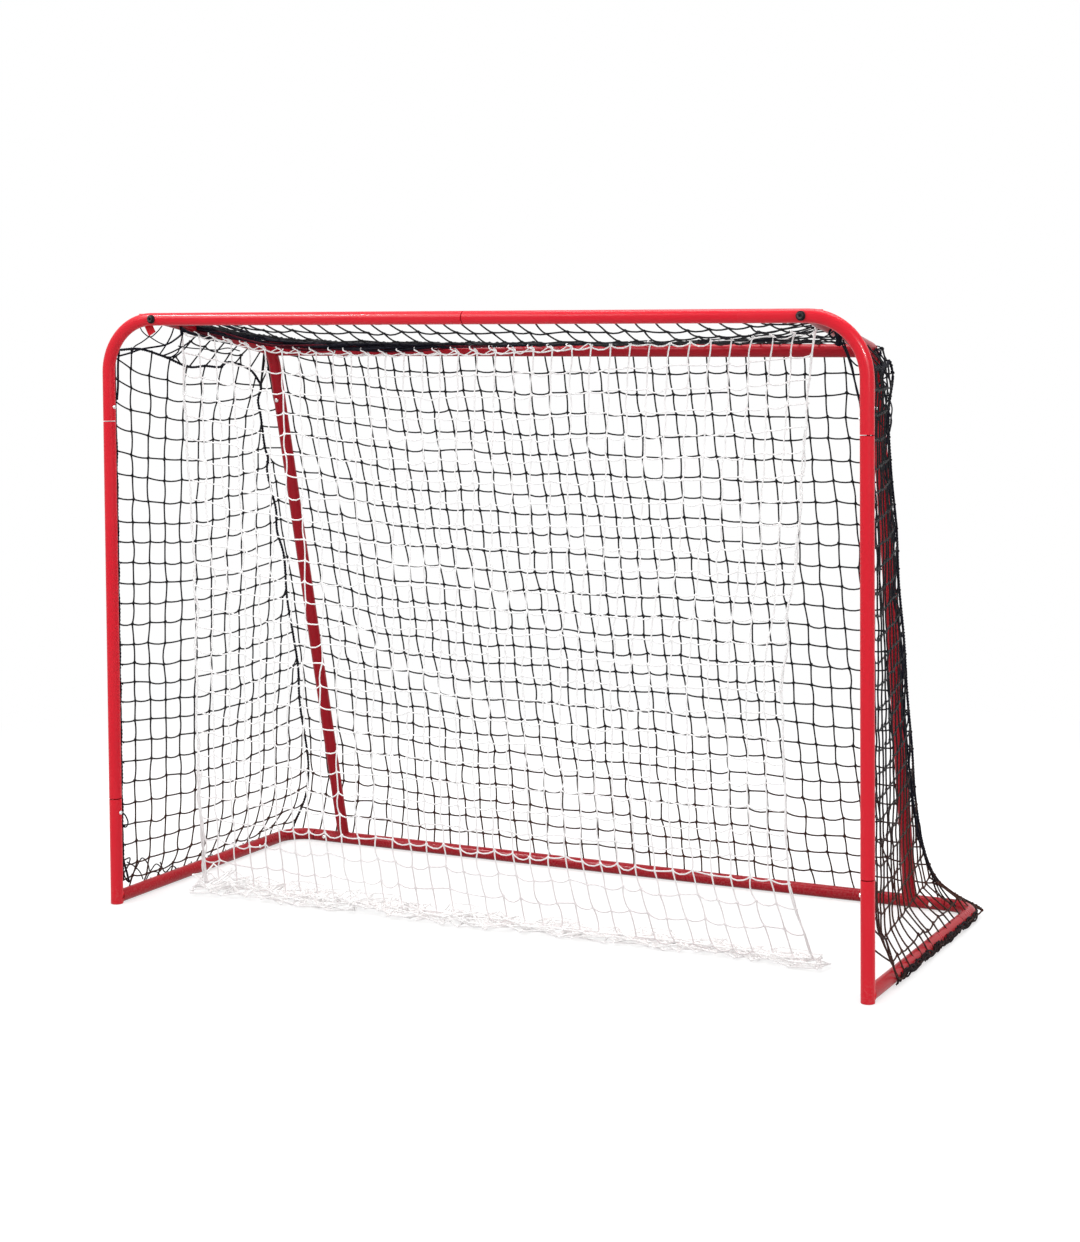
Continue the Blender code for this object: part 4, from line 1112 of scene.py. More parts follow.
def twisted(route, radius, turns_per_metre, plies=3):
    """Several plies laid round a route as a rope. Gives runs for lay_cords."""
    points, heading, along = follow(route)
    side_way = unit(np.cross(heading, (0.3, 0.2, 1.0)))
    other = np.cross(heading, side_way)
    runs = []
    for ply in range(plies):
        angle = 2 * math.pi * (along * turns_per_metre + ply / plies)
        runs.append((points + radius * 0.55 * (side_way * np.cos(angle)[:, None]
                                               + other * np.sin(angle)[:, None]), radius * 0.62))
    return runs


def seen_route(pixels, point, normal, step=0.006):
    """A route through pixels of the photograph, laid on a plane of the goal."""
    return smooth_route([seen_at(px, py, point, normal) for px, py in pixels], step)


def traced(plane, rows, step=0.006):
    """Runs for lay_cords on one plane. A row is (pixels, radius)."""
    return [(seen_route(pixels, *plane, step), radius) for pixels, radius in rows]


def between(value, marks, readings):
    """A value read off a short table, straight between its marks."""
    return float(np.interp(value, marks, readings))


# %% Routes of the corner cords
CORD_FRONT = {s: Vector((k * 0.779, -0.3032, 1.1075)) for s, k in SIDES.items()}
CORD_ROOF = {s: Vector((k * 0.690, 0.0913, 1.085)) for s, k in SIDES.items()}
CORD_FOOT = {s: Vector((k * 0.7952, 0.3310, 0.010)) for s, k in SIDES.items()}


def falling_plane(side):
    """The normal of a plane that faces the camera along a cord's fall, and the line of sight."""
    fall = (CORD_FOOT[side] - CORD_ROOF[side]).normalized()
    sight = (CORD_ROOF[side] - EYE).normalized()
    return (sight - fall * sight.dot(fall)).normalized(), sight


left_top_px = [(140, 349), (160, 355), (170, 359), (189, 367), (205, 366), (220, 367),
               (229, 362), (249, 369), (258, 380)]
left_side_px = [(261, 388), (258, 400), (260, 412), (262, 426), (265, 448), (268, 458),
                (267, 470), (271, 489), (276, 510), (277, 531), (284, 556), (287, 597),
                (293, 634), (298, 667), (300, 705), (308, 759), (306, 794), (295, 822)]
level_normal = (CORD_ROOF["left"] - CORD_FRONT["left"]).cross(Vector((0, 0, 1))).normalized()
fall_normal, _ = falling_plane("left")
left_route = [CORD_FRONT["left"],
              *(seen_at(px, py, CORD_FRONT["left"], level_normal) for px, py in left_top_px),
              *(seen_at(px, py, CORD_ROOF["left"], fall_normal) for px, py in left_side_px),
              CORD_FOOT["left"]]

CORD_RADIUS, CORD_TURNS, CORD_SAG, CORD_WAVE = 0.0027, 55, 0.024, 0.004
RIGHT_CORD_X = (0.6790, 0.6765, 0.6790, 0.6755, 0.6775, 0.6760, 0.6780, 0.6775, 0.6880)
front, roof, foot = (ends["right"] for ends in (CORD_FRONT, CORD_ROOF, CORD_FOOT))
right_route = [front.lerp(roof, t)
               - Vector((0, 0, CORD_SAG * 4 * t * (1 - t) + CORD_WAVE * math.sin(23 * t)))
               for t in (0, .12, .25, .37, .5, .62, .75, .87, .96)]
right_route.append(roof.lerp(foot, 0.03))
for tenth, x in enumerate(RIGHT_CORD_X, 1):
    point = roof.lerp(foot, tenth / 10)
    point.x = x
    right_route.append(point)
right_route += [Vector((0.7200, 0.3190, 0.0520)), foot]

cord_routes = {"left": smooth_route(left_route), "right": smooth_route(right_route)}
for side, route in cord_routes.items():
    lay_black(side + "_edge_rope", twisted(route, CORD_RADIUS, CORD_TURNS),
              side + "_corner_cord")
    print(side, "corner cord starts", [round(v, 3) for v in route[0]])


def falling_cord(side, height):
    """The corner cord's point at a height, on its way down."""
    return min((p for p in cord_routes[side] if p.y > 0.085), key=lambda p: abs(p.z - height))


def roof_cord(side, deep):
    """The corner cord's point at a depth, on its way back under the arm."""
    return min((p for p in cord_routes[side] if p.z > 1.0), key=lambda p: abs(p.y - deep))


# %% Cutting a net where it meets a cord
LONGEST_STRAND, BACK_SHORT, SHORT_OF_CORD = 0.095, 0.009, 0.010


def cut_net(grid, inside, edge_of):
    """Strands and knots of a grid of points. A strand that leaves the net ends on its cord."""
    starts, ends, knots = [], [], []
    for (i, j), point in grid.items():
        if not inside[i, j]:
            continue
        knots.append(point)
        for other in ((i + 1, j), (i - 1, j), (i, j + 1), (i, j - 1)):
            if other not in grid or inside[other] and other < (i, j):
                continue
            end = grid[other]
            if not inside[other]:
                end = edge_of(point, end, other[1] == j)
                if end is None or (end - point).length > LONGEST_STRAND:
                    continue
                knots.append(end)
            starts.append(point)
            ends.append(end)
    return starts, ends, knots


# %% [markdown]
# ### Back net and roof net
# On the real goal one black net is laced over the frame. Its knots form square meshes of
# about 39 mm. Here each net is a small grid of knots: rows and columns were followed in
# the photograph, put into metres on the sloping back, and written down as short tables, so
# the strands meet the tubes and cords where they do in the picture.

# %% Back net: a grid of knots on the sloping back, measured from the photograph
MESH, NET_COLUMNS, LAST_ROW = 0.0391, range(-9, 35), 27
COLUMN_MARKS = (-3, 0, 3, 6, 9, 12, 15, 18, 21, 24, 27)
COLUMN_X = (-.613, -.499, -.382, -.263, -.145, -.029, .086, .202, .321, .440, .558)
COLUMN_DRIFT = (.027, .022, .018, .013, .011, .010, .009, .008, .005, .003, .002)
ROW_BELL = ((0, 1, 7, 13, 19, 25, 27), (-.1, 0, .72, 1, .97, .2, 0))
ROW_Z = ((0, 1, 7, 13, 19, 25, 26, 27), (1.102, 1.055, .806, .561, .320, .089, .051, .0125))
LEFT_RISE = ((0, 19, 27), (1, .9, .2))
CORNER_SPREAD, SPREAD_BELOW, BACK_SINK = 0.026, 0.125, 0.007
slope = math.atan2(REAR_Y - ROOF_Y, ROOF_Z - BASE_Z)
BEHIND = Vector((0, math.cos(slope), math.sin(slope)))
OFFSET = 0.0147


def column_x(column):
    """Where a column of the net hangs at the roof bar. Past the marks the mesh repeats."""
    near = min(max(column, COLUMN_MARKS[0]), COLUMN_MARKS[-1])
    return between(near, COLUMN_MARKS, COLUMN_X) + (column - near) * MESH


def back_knot(column, row, dice):
    x = column_x(column)
    x += between(row, *ROW_BELL) * between(column, COLUMN_MARKS, COLUMN_DRIFT)
    z = between(row, *ROW_Z)
    if 0 < row < LAST_ROW:
        z += 0.028 * max(0.0, (6 - column) / 9) ** 2.2 * between(row, *LEFT_RISE)
        z += 0.0022 * math.sin(column * 0.9 + row * 0.35) + dice.normal(0, 0.0012)
        x += 0.0020 * math.sin(row * 0.8 - column * 0.4) + dice.normal(0, 0.0013)
    spread = max(0.0, (SPREAD_BELOW - z) / SPREAD_BELOW)
    x += CORNER_SPREAD * max(0.0, (column - 19) / 9) ** 1.5 * spread
    x -= CORNER_SPREAD * max(0.0, (7 - column) / 9) ** 1.5 * spread
    share = (ROOF_Z - z) / (ROOF_Z - BASE_Z)
    sink = BACK_SINK * math.sin(math.pi * min(max(share, 0), 1))
    return Vector((x, ROOF_Y + (REAR_Y - ROOF_Y) * share, z)) + BEHIND * (OFFSET - sink)


def back_net():
    dice = np.random.default_rng(11)
    grid, inside = {}, {}
    for i in NET_COLUMNS:
        for j in range(LAST_ROW + 1):
            point = grid[i, j] = back_knot(i, j, dice)
            left, right = falling_cord("left", point.z), falling_cord("right", point.z)
            inside[i, j] = left.x + BACK_SHORT < point.x < right.x - BACK_SHORT

    def edge_of(point, end, along_row):
        side = "left" if point.x < 0 else "right"
        return falling_cord(side, point.z if along_row else (point.z + end.z) / 2).copy()

    net = knotted_net("back_net_mesh", *cut_net(grid, inside, edge_of), BEHIND, BLACK_STRAND,
                      BLACK_YARN, seed=21)
    settle(net, "back_net")


back_net()

# %% Roof net: tied down to the head rope, and on past the arms to the corner cords
ROPE_Y, ROPE_SAG = -0.1967, 0.042
ROPE_TIE_X, ROPE_TIE_Z, ROOF_OVER_ROPE = 0.6583, 1.1492, 0.0105
FRONT_ROW_Y, FRONT_ROW_Z, OPEN_FRONT_Y = -0.3065, 1.160, -0.19
ROOF_ROWS = (FRONT_ROW_Y, -.256, -.207, -.164, -.122, -.080, -.038, .002, .042, ROOF_Y)
LAST_ROOF_ROW = len(ROOF_ROWS) - 1


def rope_z(x):
    """Height of the head rope, which hangs between its ties on the arms."""
    return ROPE_TIE_Z - ROPE_SAG * (1 - min(abs(x) / ROPE_TIE_X, 1.0) ** 4)


def roof_z(x, y):
    """Height of the roof net between the arms."""
    top = rope_z(x) + ROOF_OVER_ROPE
    if y < ROPE_Y:
        return top + (FRONT_ROW_Z - top) * (ROPE_Y - y) / (ROPE_Y - FRONT_ROW_Y)
    level = ROOF_Z + OFFSET
    return top + (level - top) * (y - ROPE_Y) / (ROOF_Y - ROPE_Y)


def roof_net():
    dice = np.random.default_rng(12)
    grid, inside = {}, {}
    for i in NET_COLUMNS:
        for j, y in enumerate(ROOF_ROWS):
            x = column_x(i) - 0.010 * (1 - j / LAST_ROOF_ROW)
            side = "left" if x < 0 else "right"
            over = ARM_X - 0.027 * max(0.0, (y + 0.29) / 0.37) * 0.37
            wobble = 0.0 if j in (0, LAST_ROOF_ROW) else 1.0
            x += wobble * (dice.normal(0, 0.0016) + 0.002 * math.sin(i + j))
            deep = y + wobble * dice.normal(0, 0.0014)
            z = roof_z(x, deep) + wobble * (0.0015 * math.sin(2.1 * i + j)
                                            + dice.normal(0, 0.0008))
            cord = roof_cord(side, deep)
            if abs(x) > over:
                share = min((abs(x) - over) / max(abs(cord.x) - over, 0.01), 1.0)
                z = (roof_z(SIDES[side] * over, deep) * (1 - share) + cord.z * share
                     - 0.006 * math.sin(math.pi * share))
                if side == "right":
                    z = min(z, 1.150)
            grid[i, j] = Vector((x, deep, z))
            inside[i, j] = (abs(x) < abs(cord.x) - SHORT_OF_CORD
                            and (abs(x) < over + 0.012 or y > OPEN_FRONT_Y))

    def edge_of(point, end, along_row):
        if point.y < OPEN_FRONT_Y:
            return None
        return roof_cord("left" if point.x < 0 else "right",
                         point.y if along_row else (point.y + end.y) / 2).copy()

    net = knotted_net("roof_net_mesh", *cut_net(grid, inside, edge_of), (0, 0.17, 0.985),
                      BLACK_STRAND, BLACK_YARN, sag=0.002, seed=22)
    settle(net, "roof_net")


roof_net()

# %% [markdown]
# ### Side nets
# A side net is cut from the same square mesh, but is pulled wider on its way back. Its
# columns stay upright, and the corner cord cuts across them, so a strand that meets the cord
# ends there. Each row is tied to the post and hangs in a shallow curve, deepest near the
# top, where the net is pulled up to the corner. The heights were read from the photograph.

# %% Side nets: tables by height or by share of the way back
SIDE_MESH, SIDE_COLUMNS = 0.0465, 20
POST_TIES = (.0125, .040, .075, .116, .155, .199, .242, .283, .324, .365, .405, .442, .480, .520,
             .561, .603, .644, .685, .727, .768, .814, .863, .907, .958, 1.006, 1.052, 1.093, 1.150)
HANG = ((0, .07, .116, .242, .405, .561, .727, .814, .863, .907, .958, 1.006, 1.052, 1.097),
        (0, .006, .010, .019, .022, .016, .019, .023, .028, .032, .041, .048, .054, .062))
TOP_HANG = ((0, .1, .21, .32, .44, .56, .77, .9, 1), (0, .37, .6, .77, .94, 1, 1, .95, .7))
THIRD_COLUMN_Y = ((0, .05, .1, .3, .5), (-.204, -.190, -.178, -.172, -.1715))
PITCH = ((0, .1, .3, .5), (.034, .036, .044, SIDE_MESH))
DRAWN = ((.74, .50, .333), (.87, .75, .667))
LIFT = ((0, .1, .35, .7, 1.0, 1.05), (.083, .089, .060, .034, .012, 0))


def side_net(side, seed):
    """i counts the columns from the post backwards, j the rows from the floor upwards."""
    sign = SIDES[side]
    right = side == "right"
    dice = np.random.default_rng(seed)
    front_x, front_y = sign * 0.7835, POST_Y + OFFSET
    bar_x = sign * (POST_X + OFFSET)
    grid, inside = {}, {}
    for j, tie in enumerate(POST_TIES):
        anchor, pitch = between(tie, *THIRD_COLUMN_Y), between(tie, *PITCH)
        drawn = [0.0, *(between(tie, (0, .1, .3), steps) for steps in DRAWN)]
        for i in range(SIDE_COLUMNS):
            y = front_y + i * SIDE_MESH - 0.004 * (i > 0)
            if right and tie < 0.5:
                y = (anchor + (i - 3) * pitch if i > 2
                     else front_y + (anchor - front_y) * drawn[i])
            edge = falling_cord(side, min(tie, 1.05))
            share = (y - front_y) / max(edge.y - front_y, 0.01)
            near = min(max(share, 0.0), 1.0)
            even = math.sin(math.pi * near)
            top = min(max((tie - 0.75) / 0.2, 0), 1)
            z = tie - between(tie, *HANG) * (even + (between(near, *TOP_HANG) - even) * top)
            x = front_x + (edge.x - front_x) * share
            lift = between(tie, *LIFT) if right else 0.0
            if right:
                z = tie - 0.3 * (tie - z) + lift * (1.0, 0.50, 0.20, 0.05, 0)[min(i, 4)]
            if j == 0 and i == 0 and right:
                z = BASE_Z + lift
            elif j == 0:
                x, z = bar_x, BASE_Z + lift * (0.0, 0.42, 0.15)[min(i, 2)] * (i < 3)
            elif j == 1:
                x, z = x + (bar_x - x) * 0.45, z + 0.004 * math.sin(i * 1.7)
            if 0 < i and 0 < j:
                y += dice.normal(0, 0.0016) + 0.002 * math.sin(j * 0.7 + i)
                z += dice.normal(0, 0.0012)
            grid[i, j] = Vector((x, y, z))
            under = roof_cord(side, y).z - SHORT_OF_CORD if y < 0.09 else math.inf
            inside[i, j] = y < falling_cord(side, z).y - SHORT_OF_CORD and z < under

    def edge_of(point, end, along_row):
        if point.y < 0.075 and point.z > 1.0 and not along_row:
            return roof_cord(side, point.y).copy()
        return falling_cord(side, point.z + (0.006 if along_row else 0.02)).copy()

    net = knotted_net(side + "_side_net_mesh", *cut_net(grid, inside, edge_of),
                      Vector((sign, 0.1, 0.05)).normalized(), BLACK_STRAND, BLACK_YARN, seed=seed)
    settle(net, side + "_side_net")


side_net("left", 31)
side_net("right", 32)

# %% [markdown]
# ### Lacing
# A cord is laced down behind each post, and another, knotted at every mesh, holds the lower
# edge of the side net against the outside of the side tube.

# %% Post cords
LACE_TOP, LACE_STEP, LACE_TIES, LACE_TURN = 0.93, 0.0295, 31, 0.0042
LACE_RADIUS, LACE_TURNS, LACE_TIE_RADIUS = 0.0020, 60, 0.0013


def post_lacing(side, sign):
    x, y = sign * (POST_X - 0.0065), POST_Y + 0.0135
    spots = [(x - sign * 0.0010 * math.sin(k * 2.3), y + 0.0004 * (k % 2),
              LACE_TOP - LACE_STEP * k) for k in range(LACE_TIES)]
    runs = twisted(smooth_route(spots, 0.008), LACE_RADIUS, LACE_TURNS)
    for tie in POST_TIES[3:22]:
        turn = []
        for step in range(11):
            angle = math.radians(40 + step * 28)
            turn.append((x + sign * 0.0005 + LACE_TURN * math.cos(angle),
                         y + 0.0012 + LACE_TURN * math.sin(angle),
                         tie + 0.006 * (step / 10 - 0.5)))
        runs.append((smooth_route(turn, 0.003), LACE_TIE_RADIUS))
    lay_black(side + "_lacing", runs, side + "_post_cord")

# %% Lower edge cords
EDGE_HEIGHTS = ((.004, .010), (.006, .015), (.010, .019), (.005, .019), (.003, .013))
TURN_X, TURN_Y, TURN_RADIUS = 0.7315, 0.2683, 0.0705
EDGE_FROM, EDGE_TO, EDGE_TIE_STEP = -0.204, 0.27, 0.0170


def lower_edge(side, sign):
    """Cords along the side tube and round the rear corner, and ties across them."""
    dice = np.random.default_rng(51)
    band = []
    for number, (low, high) in enumerate(EDGE_HEIGHTS):
        waves, phase = dice.uniform(50, 110), dice.uniform(0, 6.28)
        points = [(sign * (POST_X + 0.0148 + 0.0011 * math.sin(waves * 0.7 * y + number)), y,
                   low + (high - low) * (0.5 + 0.5 * math.sin(waves * y + phase)))
                  for y in np.linspace(-0.206 + 0.010 * number, 0.262, 66)]
        points += [(sign * (TURN_X + TURN_RADIUS * math.cos(turn)),
                    TURN_Y + TURN_RADIUS * math.sin(turn),
                    points[-1][2] + 0.003 * math.sin(3 * turn + number))
                   for turn in (0.25, 0.6, 0.95, 1.3)]
        band.append((smooth_route(points), dice.uniform(0.0015, 0.0021)))
    for y in np.arange(EDGE_FROM, EDGE_TO, EDGE_TIE_STEP):
        y += dice.normal(0, 0.003)
        tall = dice.uniform(0.017, 0.0235)
        tie = [(sign * (POST_X + 0.0135), y - 0.002, 0.003),
               (sign * (POST_X + 0.0160), y, 0.010),
               (sign * (POST_X + 0.0150), y + dice.normal(0, 0.002), tall)]
        band.append((smooth_route(tie, 0.004), LACE_TIE_RADIUS))
    lay_black(side + "_lower_edge_cord", band)


for side, sign in SIDES.items():
    post_lacing(side, sign)
    lower_edge(side, sign)

# %% [markdown]
# ## Head rope
# A dark bunch of cords and gathered net is tied between the two arms, and the white net
# hangs from it. It is thick on the left and thins to two or three cords on the right. Each
# cord of the bunch is its own curve that wanders round the middle line.

# %% Head rope
ROPE_PLANE = ((0, ROPE_Y, 0), (0, 1, 0))
rope_line = seen_route([(183, 325), (200, 329), (230, 336), (270, 344), (300, 346), (350, 348),
                        (400, 348), (450, 347), (500, 346), (550, 345), (600, 343), (650, 341),
                        (700, 339), (750, 336), (800, 330), (828, 326)], *ROPE_PLANE, 0.008)
THINNING = ((0, 0.42, 0.50, 0.58, 0.8), (1, 1, 0.55, 0.24, 0.2))


def bunch(count, seed, thick, first=0.0, last=1.0, radii=(0.0015, 0.0023)):
    """Cords that wander round the rope's middle line, over a share of its length."""
    dice = np.random.default_rng(seed)
    whole = len(rope_line) - 1
    runs = []
    for _ in range(count):
        end = int((last - dice.uniform(0, 0.12) * (last < 1)) * whole)
        waves = dice.uniform(9, 26, 2)
        phase = dice.uniform(0, 6.28, 2)
        home = dice.uniform(0, 6.28)
        points = []
        for index in range(int(first * whole), end + 1):
            p = rope_line[index]
            size = thick * between(index / whole, *THINNING)
            away = size * (0.55 + 0.45 * math.sin(waves[0] * p.x + phase[0]))
            angle = home + 0.9 * math.sin(waves[1] * p.x * 0.5 + phase[1])
            points.append(p + Vector((0, math.cos(angle), math.sin(angle))) * away)
        runs.append((points, dice.uniform(*radii)))
    return runs


arm_plane = (Vector((-ARM_X + 0.016, POST_Y, 0)), Vector((1.0, 0.027, 0)).normalized())
dark = [
    *bunch(9, 5, 0.0080, 0.0, 0.50),
    *bunch(3, 6, 0.0050, 0.30, 0.80, radii=(0.0010, 0.0013)),
    *traced(ROPE_PLANE, (
        ([(690, 341), (720, 339), (745, 336), (775, 331), (806, 326), (822, 324)], 0.0012),
        ([(700, 342), (745, 341), (770, 339), (792, 335), (815, 328), (828, 326)], 0.0012),
        ([(742, 343), (775, 340), (800, 341), (822, 340)], 0.0011),
        ([(806, 334), (814, 338), (824, 337), (834, 331)], 0.0013),
        ([(222, 324), (236, 329), (252, 334), (272, 340), (300, 344)], 0.0032))),
    *traced(arm_plane, (
        ([(181, 328), (190, 333), (205, 337), (225, 342), (246, 346), (262, 349)], 0.0030),
        ([(182, 331), (196, 334), (212, 340), (236, 343), (258, 349)], 0.0022),
        ([(181, 327), (182, 334)], 0.0034)))]
lay_black("head_rope_bunch", dark, "head_rope")
lay_black("head_rope_maroon", bunch(8, 9, 0.0086, 0.0, 0.52), material=MAROON_ROPE)

# %% [markdown]
# ### Ties and tangles
# Short ends of cord tie the corners of the net to the frame. Beside the right upright the
# spare net is drawn together into a dark ragged edge, and a little of it lies tangled at the
# foot of the left post. Each was followed in the photograph, pixel by pixel.

# %% Cords of the two top corners
corner_plane = (Vector((-0.7815, -0.300, 0)), Vector((0.111, -0.1265, 0)).normalized())
lay_black("left_corner_ties", traced(corner_plane, (
    ([(119, 356), (130, 353), (142, 349), (165, 345), (176, 339), (183, 333)], 0.0021),
    ([(139, 323), (142, 331), (150, 337), (157, 332), (162, 326)], 0.0013),
    ([(132, 354), (134, 347), (142, 342), (150, 336)], 0.0013),
    ([(150, 337), (158, 342), (165, 345)], 0.0013),
    ([(160, 354), (166, 345), (171, 336), (174, 327)], 0.0016),
    ([(170, 358), (178, 352), (181, 342), (183, 333)], 0.0015),
    ([(178, 346), (190, 348), (203, 349), (216, 350), (228, 348), (240, 351)], 0.0013),
    ([(118, 338), (119, 350), (118, 365), (118, 385), (117, 400)], 0.0022))))
tie_plane = (Vector((0.66, -0.215, 0)), Vector((0.59, 0.80, 0)).normalized())
lay_black("right_corner_ties", traced(tie_plane, (
    ([(834, 324), (837, 331), (839, 339), (838, 345)], 0.0060),
    ([(838, 330), (846, 334), (856, 341), (862, 349)], 0.0040),
    ([(842, 336), (850, 342), (857, 351), (862, 357)], 0.0026),
    ([(840, 340), (846, 352), (851, 366), (855, 382), (859, 398), (861, 412)], 0.0018),
    ([(843, 340), (849, 356), (853, 370), (856, 388), (860, 404)], 0.0015),
    ([(846, 352), (851, 360), (858, 366), (863, 362)], 0.0013),
    ([(833, 327), (829, 333), (833, 338), (838, 334)], 0.0020)), 0.004))

# %% The gathered edge beside the right upright
OUTER = [(877, 347), (881, 352), (885, 362), (885, 380), (889, 397), (891, 417), (889, 433),
         (886, 453), (888, 470), (892, 490), (894, 510), (897, 530), (896, 550), (898, 577),
         (898, 597), (900, 617), (903, 640), (905, 668), (905, 693), (907, 713), (909, 737),
         (911, 757), (914, 780), (916, 800), (919, 820), (924, 837), (929, 857), (935, 873),
         (948, 893), (960, 907)]
INNER = [(874, 350), (875, 356), (876, 364), (876, 380), (877, 397), (877, 417), (879, 433),
         (881, 453), (883, 470), (885, 490), (887, 510), (889, 530), (889, 550), (890, 577),
         (891, 597), (894, 617), (897, 640), (898, 668), (898, 693), (899, 713), (901, 737),
         (903, 757), (905, 780), (907, 800), (911, 820), (916, 837), (920, 857), (925, 873),
         (936, 893), (946, 905)]
TOWARDS_CAMERA = ((0, 3, 6, 30), (0.035, 0.026, 0.020, 0.014))
right_normal, right_sight = falling_plane("right")


def gathered(px, py, near):
    """A pixel on the plane of the falling cord, brought a little nearer to the camera."""
    return seen_at(px, py, CORD_ROOF["right"] - right_sight * near, right_normal)


dice = np.random.default_rng(61)
gather = []
for number in range(4):
    waves, phase = dice.uniform(0.5, 1.3), dice.uniform(0, 6.28)
    home = 0.25 + 0.18 * number
    points = []
    for index, ((ox, oy), (ix, iy)) in enumerate(zip(OUTER, INNER)):
        share = min(max(home + 0.55 * math.sin(waves * index * 1.7 + phase), 0.0), 1.0)
        if index > 8:
            share = 0.15 + 0.55 * share
        if number < 2:
            share = 0.62 + 0.10 * math.sin(waves * index + phase)
        points.append(gathered(ix + (ox - ix) * share, iy + (oy - iy) * share,
                               between(index, *TOWARDS_CAMERA) + 0.0016 * number))
    gather.append((smooth_route(points), dice.uniform(0.0011, 0.0016)))
gather += [(smooth_route([gathered(px, py, 0.016) for px, py in pixels], 0.004), 0.0014)
           for pixels in (
    [(876, 346), (880, 347), (881, 351), (878, 355)],
    [(879, 366), (884, 363), (888, 367), (889, 373), (885, 378), (879, 378)],
    [(878, 386), (882, 381), (886, 384), (885, 391), (880, 396)],
    [(884, 396), (889, 399), (892, 408), (891, 418), (890, 430), (886, 440)],
    [(886, 455), (889, 470), (892, 486), (891, 497)],
    [(889, 505), (894, 514), (897, 525), (896, 538), (893, 546)],
    [(894, 560), (898, 572), (899, 584), (896, 592)],
    [(896, 600), (900, 612), (901, 622), (898, 630)],
    [(899, 630), (904, 640), (904, 650), (900, 655)],
    [(901, 660), (906, 668), (906, 680), (902, 690)],
    [(903, 708), (908, 716), (907, 726), (904, 732)],
    [(905, 740), (910, 750), (909, 760), (905, 765)],
    [(907, 775), (914, 785), (913, 797), (909, 803)],
    [(912, 812), (919, 822), (921, 834)])]
lay_black("right_gathered_edge", gather)

# %% Tangles at the foot of the left post
post_plane = (Vector((-0.7835, -0.300, 0)), Vector((0.3, -1, 0)).normalized())
net_plane = (Vector((-POST_X - OFFSET + 0.004, 0, 0)), Vector((1, 0, 0)))
lay_black("left_foot_tangle", traced(post_plane, (
    ([(120, 811), (125, 815), (128, 822), (126, 827), (121, 826)], 0.0015),
    ([(122, 826), (121, 838), (122, 850), (124, 862), (127, 873), (129, 882)], 0.0022)),
    0.004) + traced(net_plane, (
    ([(124, 860), (130, 858), (128, 866), (124, 874), (129, 882), (133, 874), (136, 868)], 0.0015),
    ([(127, 862), (134, 866), (140, 872), (143, 879)], 0.0013),
    ([(136, 868), (142, 858), (148, 864), (150, 871), (156, 864), (162, 868)], 0.0013),
    ([(146, 880), (150, 873), (157, 872), (161, 877)], 0.0013),
    ([(160, 862), (165, 872), (172, 866), (176, 869), (171, 873)], 0.0013)), 0.004))

# %% [markdown]
# ## Drop net
# The white net inside the goal catches the ball. It hangs from the head rope by its own
# loops, narrows a little on the right, and its spare length lies gathered on the floor.

# %% Drop net
DROP_COLUMNS, DROP_ROWS, HEM_Z = 34, 26, 0.022
LEFT_EDGE = ((0.02, 0.15, 0.30, 0.60, 0.80, 1.106),
             (-0.674, -0.672, -0.677, -0.672, -0.685, -0.700))
RIGHT_EDGE = ((0.017, 0.145, 0.31, 0.49, 0.74, 1.07, 1.125),
              (0.640, 0.596, 0.589, 0.587, 0.620, 0.645, 0.655))


def grid_lines(grid):
    """Strands along the rows and columns of a grid of knots, as starts and ends."""
    rows = (grid[:, :-1].reshape(-1, 3), grid[:, 1:].reshape(-1, 3))
    columns = (grid[:-1].reshape(-1, 3), grid[1:].reshape(-1, 3))
    return np.concatenate([rows[0], columns[0]]), np.concatenate([rows[1], columns[1]])


def ripple(first, second, seed, size):
    """Smooth unevenness over a grid, the same on each run."""
    dice = np.random.default_rng(seed)
    total = np.zeros(np.broadcast(first, second).shape)
    for _ in range(6):
        a, b, phase = dice.uniform(-7, 7), dice.uniform(-7, 7), dice.uniform(0, 6.28)
        total = total + np.sin(a * first + b * second + phase)
    return total / 6 * size


def drop_grid():
    """Knots of the hanging net. u runs to the right and v upwards, both from 0 to 1."""
    u, v = np.meshgrid(np.linspace(0, 1, DROP_COLUMNS + 1), np.linspace(0, 1, DROP_ROWS + 1))
    guess = 0.03 + 1.07 * v
    swell = np.sin(math.pi * v)
    left, right = np.interp(guess, *LEFT_EDGE), np.interp(guess, *RIGHT_EDGE)
    x = left + (right - left) * u + ripple(u * 2, v, 41, 0.008) * swell ** 0.5
    top = np.interp(x, [p.x for p in rope_line], [p.z for p in rope_line])
    top = top - np.interp(x, (0.05, 0.25), (0.012, 0.005))
    z = HEM_Z + (top - HEM_Z) * v ** 0.97 + ripple(u * 3, v, 42, 0.006) * swell
    low = np.clip(1 - v * 5, 0, 1)
    z = z + low * 0.008 * np.sin(u * 61) * np.sin(math.pi * np.clip(v * 5, 0, 1))
    y = ROPE_Y + 0.008 * np.sin(u * 22) * swell + 0.020 * low ** 2
    grid = np.stack([x, y, z], axis=2)
    return grid + np.random.default_rng(13).normal(0, 0.0016, grid.shape) * swell[..., None]


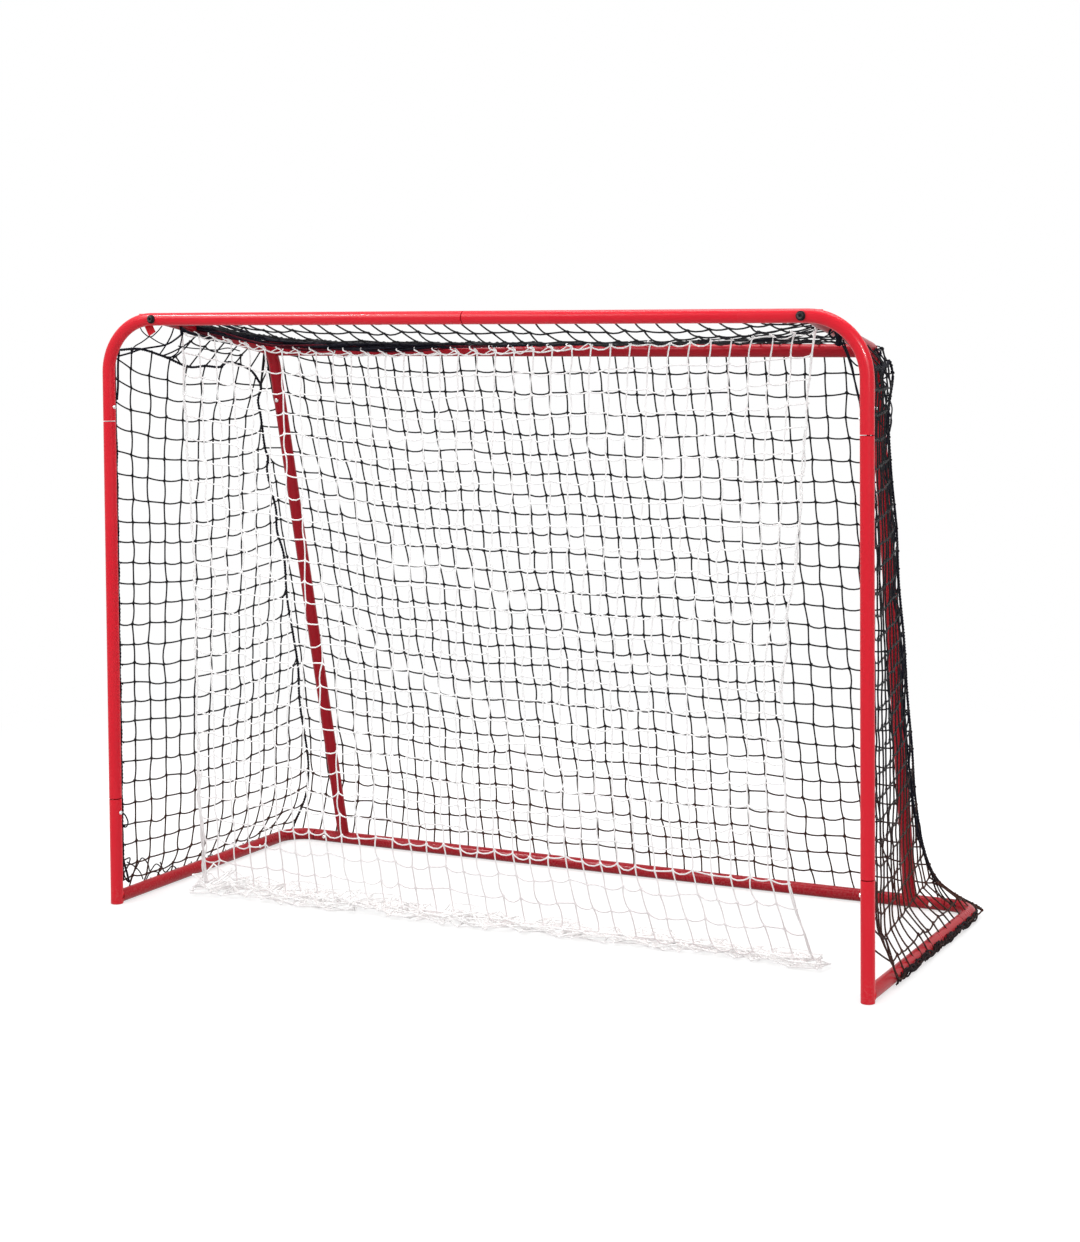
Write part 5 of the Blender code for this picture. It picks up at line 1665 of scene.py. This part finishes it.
def pile_grid(base, folds=12):
    """The spare rows, laid to and fro on the floor below the net."""
    dice = np.random.default_rng(44)
    u = np.linspace(0, 1, DROP_COLUMNS + 1)
    near = np.interp(u, [0, 0.1, 0.3, 0.45, 0.6, 0.75, 0.9, 1],
                     [-.212, -.205, -.200, -.202, -.185, -.180, -.175, -.190])
    far = near + np.interp(u, [0, 0.4, 1], [0.065, 0.052, 0.045])
    tall = np.interp(u, [0, 0.08, 0.3, 0.6, 1], [0.052, 0.046, 0.038, 0.028, 0.022])
    rows = [base]
    for fold in range(folds):
        share = 0.5 + 0.5 * math.cos(fold * math.pi)
        y = near + (far - near) * np.clip(share + dice.normal(0, 0.22, len(u)), 0, 1)
        z = 0.004 + tall * dice.uniform(0, 1, len(u)) * (0.5 + 0.5 * math.sin(fold + 1) ** 2)
        x = base[:, 0] + dice.normal(0, 0.012, len(u))
        rows.append(np.stack([x, y, z], axis=1))
    return np.stack(rows[::-1])


hung = drop_grid()
pile = pile_grid(hung[0])
net = knotted_net("drop_net_mesh", *grid_lines(hung), hung.reshape(-1, 3), (0, -1, 0),
                  WHITE_STRAND, WHITE_YARN, sag=0.004, seed=23)
settle(net, "drop_net", "hanging_net")
heap = knotted_net("drop_net_pile", *grid_lines(pile), pile[:-1].reshape(-1, 3), (0, 0, 1),
                   WHITE_STRAND, HEM_YARN, sag=0.0, seed=24)
settle(heap, "drop_net_hem", "hanging_net")

# %% Loops of the white net round the head rope
LOOP_TURN = ((-0.25, -0.62, -0.80), (-0.8, -0.95, -0.42), (-1, -0.55, -0.05), (-1, 0.3, 0.1),
             (-0.4, 0.7, -0.7))
THIN_ROPE_X, LOOP_RADIUS, GARLAND_RADIUS, EDGE_RADIUS = 0.2, 0.0014, 0.0011, 0.0017
loops = []
for top in hung[-1]:
    top = Vector(top)
    rope = min(rope_line, key=lambda p: abs(p.x - top.x))
    bulk = between(rope.x, (0.05, THIN_ROPE_X), (0.0098, 0.005))
    lean = 0.013 if rope.x < THIN_ROPE_X else 0.003
    turn = [rope + Vector((a * lean, b * bulk, c * bulk)) for a, b, c in LOOP_TURN]
    turn = smooth_route([top, *turn, top + Vector((0, 0.0016, 0.0012))], 0.004)
    loops.append((turn, LOOP_RADIUS))
for first, second in zip(hung[-1], hung[-1][1:]):
    first, second = Vector(first), Vector(second)
    if first.x <= THIN_ROPE_X:
        slack = 0.006 if first.x < -0.42 or -0.12 < first.x else 0.001
        garland = [first, first.lerp(second, 0.35) + Vector((0, -0.002, -0.002 - 0.3 * slack)),
                   first.lerp(second, 0.7) + Vector((0, -0.004, 0.4 * slack)),
                   second + Vector((-0.003, -0.004, slack)), second]
        loops.append((smooth_route(garland, 0.005), GARLAND_RADIUS))

# %% Strands along the net's side edges, and the bunch at its lower left corner
for number in range(4):
    wander = 0.0016 + 0.0022 * number
    strand = [Vector(hung[k, 0]) + Vector((wander * (1 + math.sin(2.3 * k + number)),
                                           -0.003 - 0.002 * number,
                                           0.012 * math.sin(k + number) * (k > 0)))
              for k in range(6)]
    loops.append((smooth_route(strand, 0.006), EDGE_RADIUS))
for side_edge in (hung[:, 0], hung[:, -1]):
    strand = [p + np.array((0.002 * math.sin(k * 2.1), -0.002, 0))
              for k, p in enumerate(side_edge)]
    loops.append((smooth_route(strand, 0.008), EDGE_RADIUS))
settle(lay_cords("drop_net_loops", loops, WHITE_YARN, 5), None, "hanging_net")
